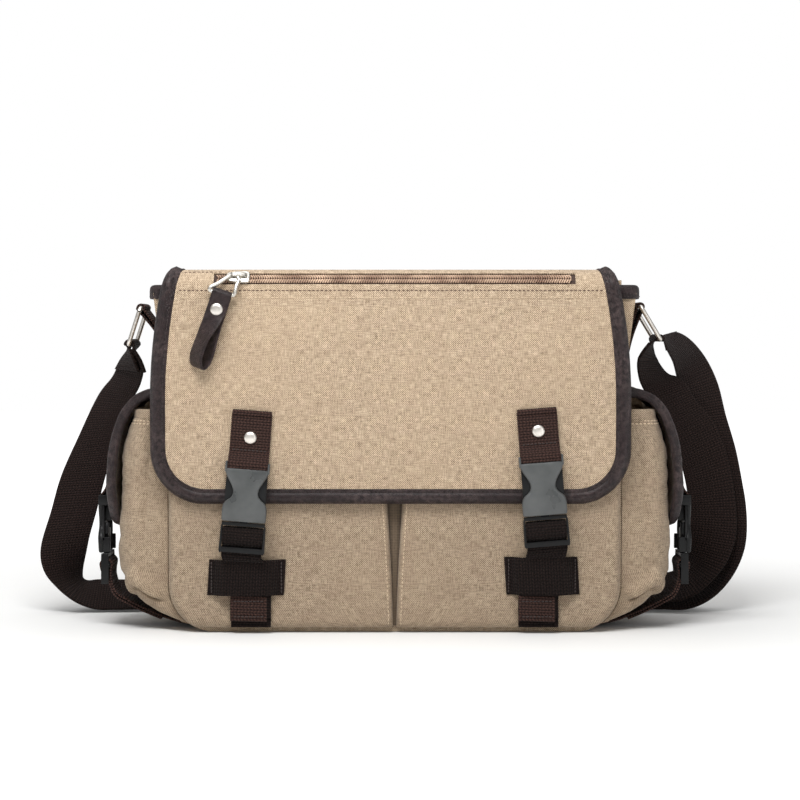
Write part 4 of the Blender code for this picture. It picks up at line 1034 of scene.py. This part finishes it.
def make_slider(m, flap, zip_s):
    """The slider, its trapezoid puller and the leather loop on it."""
    seat = flap.point(SLIDER_X - 3 - FLAP_SHIFT, zip_s, 0.0)
    out = unit(seat - np.array([SLIDER_X - 3, -FOLD_H, FOLD_Z]))
    down = np.cross((1, 0, 0), out)

    def on_zip(a, b, w):
        return seat + np.array([a, 0, 0]) - down * b + out * w

    outline = [(-8.5, -2.0), (-7.2, -3.6), (-2.0, -4.9), (6.5, -5.1), (8.6, -4.4), (9.0, -1.4),
               (9.0, 1.4), (8.6, 4.4), (6.5, 5.1), (-2.0, 4.9), (-7.2, 3.6), (-8.5, 2.0)]
    rings = [[on_zip(a * k, b * k, w) for a, b in outline]
             for w, k in ((0.3, 0.94), (0.7, 1.0), (2.0, 1.0), (2.6, 0.95), (2.9, 0.84))]
    points, faces = sweep(rings)
    add_mesh("zip_slider_plate", points, faces, m["zip_metal"], "zip_slider_body", ("zip_slider",), angle=30)
    bridge = smooth_route([on_zip(6.5, 0, 2.4), on_zip(5.8, 0, 4.6), on_zip(2.0, 0, 5.6), on_zip(-3.0, 0, 5.4),
                           on_zip(-5.0, 0, 4.4), on_zip(-5.4, 0, 2.5)], 5)
    ribbon("zip_slider_bridge", bridge, (0, down[1], down[2]), 3.4, 1.4, m["zip_metal"], "zip_slider_body", step=0.8)

    bar_left, bar_right = np.array([-136.0, -69.2, 257.4]), np.array([-119.6, -69.6, 254.2])
    hub = on_zip(-0.5, 0.0, 3.9)
    corners = [hub + (-2.2, 1.6, 1.0), hub + (-6.5, -1.2, -1.2), hub + (-13.5, -4.2, -6.0), bar_left + (-1.0, 0, 2.2),
               bar_left + (0.4, 0, -0.6), (bar_left + bar_right) / 2, bar_right + (-0.6, 0, -0.4),
               bar_right + (1.2, 0, 1.8), bar_right + (2.0, 1.2, 6.0), hub + (1.6, -2.2, -4.0), hub + (0.8, -0.8, -1.2)]
    loop = smooth_route(corners + [corners[0]], 6)[:-1]
    tube("zip_puller_wire", loop, 1.6, m["zip_metal"], "zip_puller_body", ("zip_puller",))

    top, end = (bar_left + bar_right) / 2, np.array([-146.5, -69.4, 199.6])
    lean = unit(end - top)
    right = unit(np.cross(lean, (0, 1, 0)))
    right = right if right[0] > 0 else -right
    forward = np.array([0.0, -1.0, 0.0])
    shape = [(-1.6, 0.2), (0.8, 2.1), (6, 1.7), (14, 1.35), (24, 2.2), (36, 4.2), (46, 4.9), (53, 4.0), (57.5, 1.2),
             (57.4, -1.8), (53, -4.0), (45, -4.6), (34, -3.4), (24, -1.7), (14, -1.2), (6, -1.6), (0.8, -2.0),
             (-1.6, -0.2)]
    route, across = [], []
    for a, b in shape:
        turn = math.radians(48) * ease((a - 8) / 30)
        normal = forward * math.cos(turn) - right * math.sin(turn)
        route.append(top + lean * a + normal * b)
        across.append(right * math.cos(turn) + forward * math.sin(turn))
    ribbon("pull_tab_leather", route, across, 15.0, 1.9, m["leather"], "zip_puller_body", ("pull_tab",), step=1.2,
           edge=0.5)
    place = top + lean * 13.0 + forward * 2.4
    dome("pull_tab_rivet_cap", place, forward, RIVET_RADIUS, 1.2, m["silver"], "zip_puller_body", ("pull_tab_rivet",))


def dome(name, centre, outward, radius, height, material, body, replaces):
    """A rivet's rounded cap."""
    outward = unit(outward)
    side = unit(np.cross(outward, (0.2, 0.1, 0.97)))
    up = np.cross(outward, side)
    steps = [(radius * 1.06, -0.6), (radius, 0.5)]
    steps += [(radius * 0.97 * math.cos(a), 0.5 + height * math.sin(a)) for a in np.radians((15, 35, 55, 75, 87))]
    points, faces = sweep([circle(centre, reach, side, up, 28) + outward * rise for reach, rise in steps])
    return add_mesh(name, points, faces, material, body, replaces, angle=60)


# Buckles and webbing ------------------------------------------------------------------------

class BucklePlace:
    """A buckle's own axes: u across, v up the webbing from the mouth, w out from the cloth."""

    def __init__(self, mouth, across, up, out):
        self.mouth, self.across, self.up, self.out = (np.array(v, float) for v in (mouth, across, up, out))

    def __call__(self, u, v, w):
        return self.mouth + self.across * u + self.up * v + self.out * w


def front_buckle_place(side):
    lean = math.radians(BUCKLE_TILT)
    up = (-side * math.sin(lean), 0, math.cos(lean))
    drop = BUCKLE_PIVOT_Z - FRONT_MOUTH_Z[side]
    return BucklePlace((side * (BUCKLE_X + drop * math.tan(lean)), FRONT_BACK_Y, FRONT_MOUTH_Z[side]),
                       (math.cos(lean), 0, side * math.sin(lean)), up, (0, -1, 0))


def side_buckle_place(side):
    return BucklePlace((side * SIDE_BUCKLE_X, SIDE_BUCKLE_Y, SIDE_MOUTH_Z), (0, side, 0), (0, 0, 1), (side, 0, 0))


def male_loop():
    turn = [(-9.2 + a, 4.4 + b) for a, b in arc((0, 0), 4.4, -90, 90, 6)]
    return [(-27, 0.8), (-20, 0.8), (-13.5, 0.8), *turn, (-14.5, 7.6), (-17.4, 5.4), (-18.8, 3.2), (-20.5, 2.6),
            (-27, 2.9)]


def tab_route(high_front, high_back):
    turn = [(40.75 + b, 4.75 + a) for a, b in arc((0, 0), 3.55, 0, -180, 6)]
    return high_front + [(44, 8.0)] + turn + [(44, 1.2)] + high_back


def rounded_bar(low, high, place, radius=0.5):
    """A bar with rounded edges, from two opposite corners in a buckle's own axes, as rings along v."""
    (a, v0, c), (b, v1, d) = low, high
    rings = []
    for v, r in ((v0, radius), (v0 + radius * 0.3, radius * 0.3), (v0 + radius, 0), (v1 - radius, 0),
                 (v1 - radius * 0.3, radius * 0.3), (v1, radius)):
        left, right, back, front, cut = a + r, b - r, c + r, d - r, radius * 0.6
        rings.append([place(u, v, w) for u, w in (
            (left, back + cut), (left + cut, back), (right - cut, back), (right, back + cut),
            (right, front - cut), (right - cut, front), (left + cut, front), (left, front - cut))])
    return sweep(rings)


def side_bars(place, across, along, deep):
    """One bar at each side of a buckle, from its limits across, along and into it."""
    return [rounded_bar((min(side * u for u in across), along[0], deep[0]),
                        (max(side * u for u in across), along[1], deep[1]), place) for side in (-1, 1)]


def buckle_plate(place):
    """The receiving half's crowned face: wide at its mouth, waisted in the middle, wide again at the webbing."""
    outline = [(0.0, 15.6, 0.5), (0.5, 16.3, 0.1), (2, 16.6, 0), (9, 16.6, 0), (12.5, 16.0, 0), (15, 14.2, 0),
               (17, 11.6, 0), (19, 9.9, 0), (21.5, 9.2, 0), (24, 9.5, 0), (27, 10.8, 0), (30, 12.6, 0),
               (33, 14.4, 0), (36, 15.8, 0), (38.2, 16.2, 0), (39, 16.0, 0.2), (39.4, 15.4, 0.8)]
    rings = []
    for v, half, drop in outline:
        front = 9.6 - drop + 0.9 * math.sin(math.pi * min(max(v / 39.4, 0), 1)) ** 0.5
        low = 6.8 + drop * 0.5
        section = [(-half + 0.3, low), (-half, low + 0.5), (-half, front - 1.3), (-half + 0.5, front - 0.5),
                   (-half + 1.5, front)]
        section += [(half * k / 4, front + 0.45 * (1 - (k / 4) ** 2)) for k in (-2, -1, 0, 1, 2)]
        section += [(-u, w) for u, w in reversed(section[:5])]
        rings.append([place(u, v, w) for u, w in section])
    return sweep(rings)


def make_buckle(m, prefix, flap_body, place):
    front = "front" in prefix
    # The side buckles' receiving face is the same grey part as the front ones, but gets the black plastic here: painted
    # shade for their place in the shadow at the bag's sides.
    face = m["grey" if front else "black"]
    ears = side_bars(place, (15.1, 16.5), (36.5, 44.5), (2.6, 9.8))
    points, faces = joined([buckle_plate(place), *ears])
    add_mesh(f"{prefix}_buckle_face", points, faces, face, flap_body, (f"{prefix}_female_buckle",), angle=38)
    rails = side_bars(place, (13.2, 15.4), (0.4, 12.0), (1.0, 7.4))
    middle = rounded_bar((-9.2, 24.0, 1.0), (9.2, 36.0, 7.4), place, 0.8)
    shell = rounded_bar((-15.4, 9.0, 5.2), (15.4, 37.0, 6.9), place, 0.6)
    bar = rounded_bar((-16.0, 39.2, 3.0), (16.0, 42.4, 6.4), place, 1.0)
    points, faces = joined([*rails, middle, shell, bar])
    add_mesh(f"{prefix}_buckle_frame", points, faces, m["black"], flap_body, angle=38)
    rounded_copy(f"{prefix}_male_buckle", m["black"], f"{prefix}_male_body")
    for letter in "ab":
        rounded_copy(f"{prefix}_prong_{letter}", m["black"], f"{prefix}_prong_{letter}_body")


def make_front_set(m, side, name):
    place = front_buckle_place(side)
    make_buckle(m, f"{name}_front", "flap_front", place)
    web = m["webbing"]
    top = (BUCKLE_PIVOT_Z + 6.5 - FRONT_MOUTH_Z[side]) + (1.5 if side > 0 else 0)
    route = tab_route([(top, 1.4), (56, 1.4), (50, 3.4)], [(50, -0.4), (56, -0.45), (top - 1, -0.45)])
    ribbon(f"{name}_flap_tab_web", [place(0, v, w) for v, w in route], place.across, WEB_WIDTH, WEB, web,
           "flap_front", (f"{name}_flap_tab",))
    fold = [place(0, top + v, w) for v, w in ((0.6, -0.3), (1.5, 0.9), (0.7, 2.3), (-1.6, 2.5))]
    ribbon(f"{name}_flap_tab_top_fold", fold, place.across, WEB_WIDTH - 0.6, 1.1, web, "flap_front", step=0.8)
    dome(f"{name}_tab_rivet_cap", place(0, 62.5, 2.5), place.out, RIVET_RADIUS, 1.3, m["silver"], "flap_front",
         (f"{name}_tab_rivet",))
    row = [place(u, 53.2, 2.9) for u in np.linspace(-13, 13, 12)]
    stitches(f"{name}_flap_tab_stitches", [(row, place.out)], 2.8, 2.0, 0.4, m["dark_thread"], "flap_front")

    low_x, inner_y, outer_y = side * 108.0, -58.95, -60.95
    level = np.array([1.0, 0, 0])
    climb = [(low_x, inner_y, 5.0), (low_x, inner_y, 30.0), (side * 111, inner_y, 51.0)]
    fall = [(side * 111, outer_y, 49.5), (low_x, outer_y, 30.0), (low_x, outer_y, 12.0)]
    loop = [place(0, v, w) for v, w in male_loop()]
    across = [level] * 3 + [place.across] * len(loop) + [level] * 3
    strap, _ = ribbon(f"{name}_front_strap_web", climb + loop + fall, across, WEB_WIDTH, WEB, m["keeper"], None,
                      (f"{name}_front_strap",))
    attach(strap, "bag")
    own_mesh(strap)
    tail = [(low_x - 1.5, outer_y + y, z)
            for y, z in ((0.4, 30.5), (-1.3, 27.5), (-1.7, 19.0), (-1.6, 11.5), (-0.9, 10.2), (0.4, 10.6))]
    ribbon(f"{name}_front_strap_tail", tail, (1, 0, -0.03), WEB_WIDTH - 2.5, WEB, web, "bag", step=1.0)
    rows = [([(low_x - 1.5 + u, outer_y - 2.6, z) for u in np.linspace(-11.5, 11.5, 12)], (0, -1, 0))
            for z in (13.5, 25.0)]
    stitches(f"{name}_front_strap_stitches", rows, 2.8, 2.0, 0.4, m["dark_thread"], "bag")

    low, high, x_in, x_out = (29.0, 56.0, 82.5, 140.0) if side < 0 else (29.5, 58.0, 83.0, 138.0)
    middle = (low + high) / 2
    foot = POCKET_Y - 1.0
    plan = [(x_in, foot - 0.2), (x_in + 5, foot - 0.5), (x_in + 10, -62.6), (x_in + 16, -64.3), (111, -64.9),
            (x_out - 15, -64.3), (x_out - 9, -62.4), (x_out - 4, foot - 0.5), (x_out, foot - 0.2)]
    route = [(side * x, y, middle) for x, y in plan]
    ribbon(f"{name}_keeper_web", route, (-0.06 * side, 0, 1), high - low, WEB, m["keeper"], "bag", (f"{name}_keeper",))
    rows = [([(side * x, foot - 1.4, z) for z in np.linspace(low + 1.5, high - 1.5, 12)], (0, -1, 0))
            for x in (x_in + 2.5, x_out - 2.5)]
    stitches(f"{name}_keeper_stitches", rows, 2.6, 2.0, 0.4, m["dark_thread"], "bag")


def make_side_set(m, side, name):
    profile = smooth_route(SIDE_FLAP_PROFILE, 5)
    flap = Flap(profile, lambda s: SIDE_FLAP_HALF, SIDE_FLAP_CORNER,
                lambda u, h, z: (side * h, SIDE_BUCKLE_Y + u, z))
    body = f"{name}_side_flap_body"
    inset = 6.0
    heights = list(np.linspace(0, flap.length - SIDE_FLAP_CORNER, 26)[:-1])
    heights += flap.corner_heights(inset, 9)
    grid = []
    for s in heights:
        half = flap.half_at(s, inset)
        row = []
        for share in np.linspace(-1, 1, 19):
            soft = (1 - share ** 4) * 0.5 * rumple(share * half, 0, s, 24, 5)
            row.append(flap.point(share * half, s, -soft))
        grid.append(row)
    cloth_sheet(f"{name}_side_flap_cloth", grid, 1.9, m["canvas"], body, (f"{name}_side_flap",),
                outward=(side * 600, 0, 130))
    binding_piece(f"{name}_side_leather_binding", flap, 30, 8.0, 1.2, 4.6, m, body, (f"{name}_side_flap_binding",))

    place = side_buckle_place(side)
    make_buckle(m, f"{name}_side", body, place)
    route = tab_route([(77, 0.9), (60, 2.2), (50, 4.0)], [(50, 0.8), (60, 0.3), (76, -0.95)])
    ribbon(f"{name}_side_tab_web", [place(0, v, w) for v, w in route], place.across, WEB_WIDTH, WEB, m["webbing"], body,
           (f"{name}_side_tab",))
    low = [(152, 2.2), (165, 4.5), (178, 8.5), (192, 14.5), (205, 21.0), (214, 27.0)]
    climb = [(side * x, SIDE_BUCKLE_Y, z) for x, z in low]
    fall = [(side * (x + 1.2), SIDE_BUCKLE_Y, z - 1.8) for x, z in reversed(low[2:])]
    loop = [place(0, v, w) for v, w in male_loop()[1:-1]]
    strap, _ = ribbon(f"{name}_side_strap_web", climb + loop + fall, (0, 1, 0), WEB_WIDTH, WEB, m["webbing"], None,
                      (f"{name}_side_strap",))
    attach(strap, "bag")
    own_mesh(strap)


# Rings and the shoulder strap ---------------------------------------------------------------

def make_ring(m, side, name):
    out, height, swing = RING_TOP[side]
    lean = math.radians(swing)
    down = np.array([side * math.sin(lean), 0, -math.cos(lean)])
    top, across = np.array([side * out, RING_Y, height]), np.array([0.0, 1.0, 0.0])
    inner_half, inner_drop = RING_HALF - RING_CORNER, RING_DROP - RING_CORNER
    plan = (arc((inner_half, RING_CORNER), RING_CORNER, -90, 0, 6)
            + arc((inner_half, inner_drop), RING_CORNER, 0, 90, 6)
            + arc((-inner_half, inner_drop), RING_CORNER, 90, 180, 6)
            + arc((-inner_half, RING_CORNER), RING_CORNER, 180, 270, 6))
    tube(f"{name}_ring_wire", [top + across * a + down * b for a, b in plan], WIRE, m["silver"], f"{name}_ring_body",
         (f"{name}_ring",), sides=16)
    turn = (215, -35) if side < 0 else (205, -45)
    wrap = [(out + a, height + b) for a, b in arc((0, 0), WIRE + 1.15, *turn, 8)]
    route = [(176.6, 199), (178.3, 213), (181.3, 226)] + wrap + [(184.6, 226.5), (180.9, 213), (179.0, 201)]
    ribbon(f"{name}_chape_web", [(side * x, RING_Y, z) for x, z in route], (0, 1, 0), 36.4, WEB, m["webbing"], "bag",
           (f"{name}_chape",), step=1.2)


def route_points(stations):
    middles = [p for p, _ in stations]
    across = [unit(a) for _, a in stations]
    return middles, across


def make_strap(m):
    for name, node, stations, far in (("shoulder_strap_web", "shoulder_strap", STRAP_ROUTE, "object"),
                                      ("strap_return_web", "strap_return", RETURN_ROUTE, "fitting")):
        middles, across = route_points(stations)
        strap, line = ribbon(name, middles, across, STRAP_WIDTH, STRAP, m["strap"], "bag", (node,), step=2.4, edge=0.4)
    put_material("strap_slider", m["black"])


def make_strap_ends(m):
    """The webbing turned over each ring, which bends between the strap and the ring."""
    reach = WIRE + 1.3
    for side, name in SIDES.items():
        out, height, swing = RING_TOP[side]
        lean = math.radians(swing)
        foot = np.array([side * (out + RING_DROP * math.sin(lean)), RING_Y, height - RING_DROP * math.cos(lean)])
        over = [foot + np.array([side * reach * math.cos(a), 0, reach * math.sin(a)])
                for a in np.radians((-10, 25, 60, 90, 120, 155, 190))]
        if side < 0:
            outside = [(-211.0, 21.5, 196.5), (-209.8, 14.0, 205.0), (-208.4, 8.6, 212.5)]
            inside = [(-204.8, 8.8, 211.5), (-204.6, 14.5, 204.5), (-206.2, 22.0, 196.0)]
            lower = [(24, -32, -2), (15, -35, 0), (7, -37, 3)]
            across = lower + [(0, -1, 0)] * len(over) + lower[::-1]
        else:
            outside = [(217.0, 15.8, 219.6), (213.5, 11.6, 221.0), (210.0, 8.2, 221.8)]
            inside = [(200.9, 8.0, 217.0), (199.4, 8.6, 211.5), (198.1, 10.2, 205.0)]
            across = [(-11, -32, -14), (-8, -35, -8), (-5, -37, -3)] + [(0, -1, 0)] * len(over)
            across += [(-5, -37, 4), (-11, -36, 5), (-19, -33, 2)]
        route = outside + over + inside
        loop, _ = ribbon(f"{name}_strap_end_web", route, [unit(a) for a in across], STRAP_WIDTH + 0.5, 2.3,
                         m["strap"], None, step=1.2)
        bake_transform(loop)


def main():
    make_studio()
    m = make_materials()
    make_strap(m)
    make_strap_ends(m)
    make_body(m)
    make_mouth_binding(m)
    make_front_pockets(m)
    make_side_pockets(m)
    make_flap(m)
    for side, name in SIDES.items():
        make_front_set(m, side, name)
        make_side_set(m, side, name)
        make_ring(m, side, name)


main()
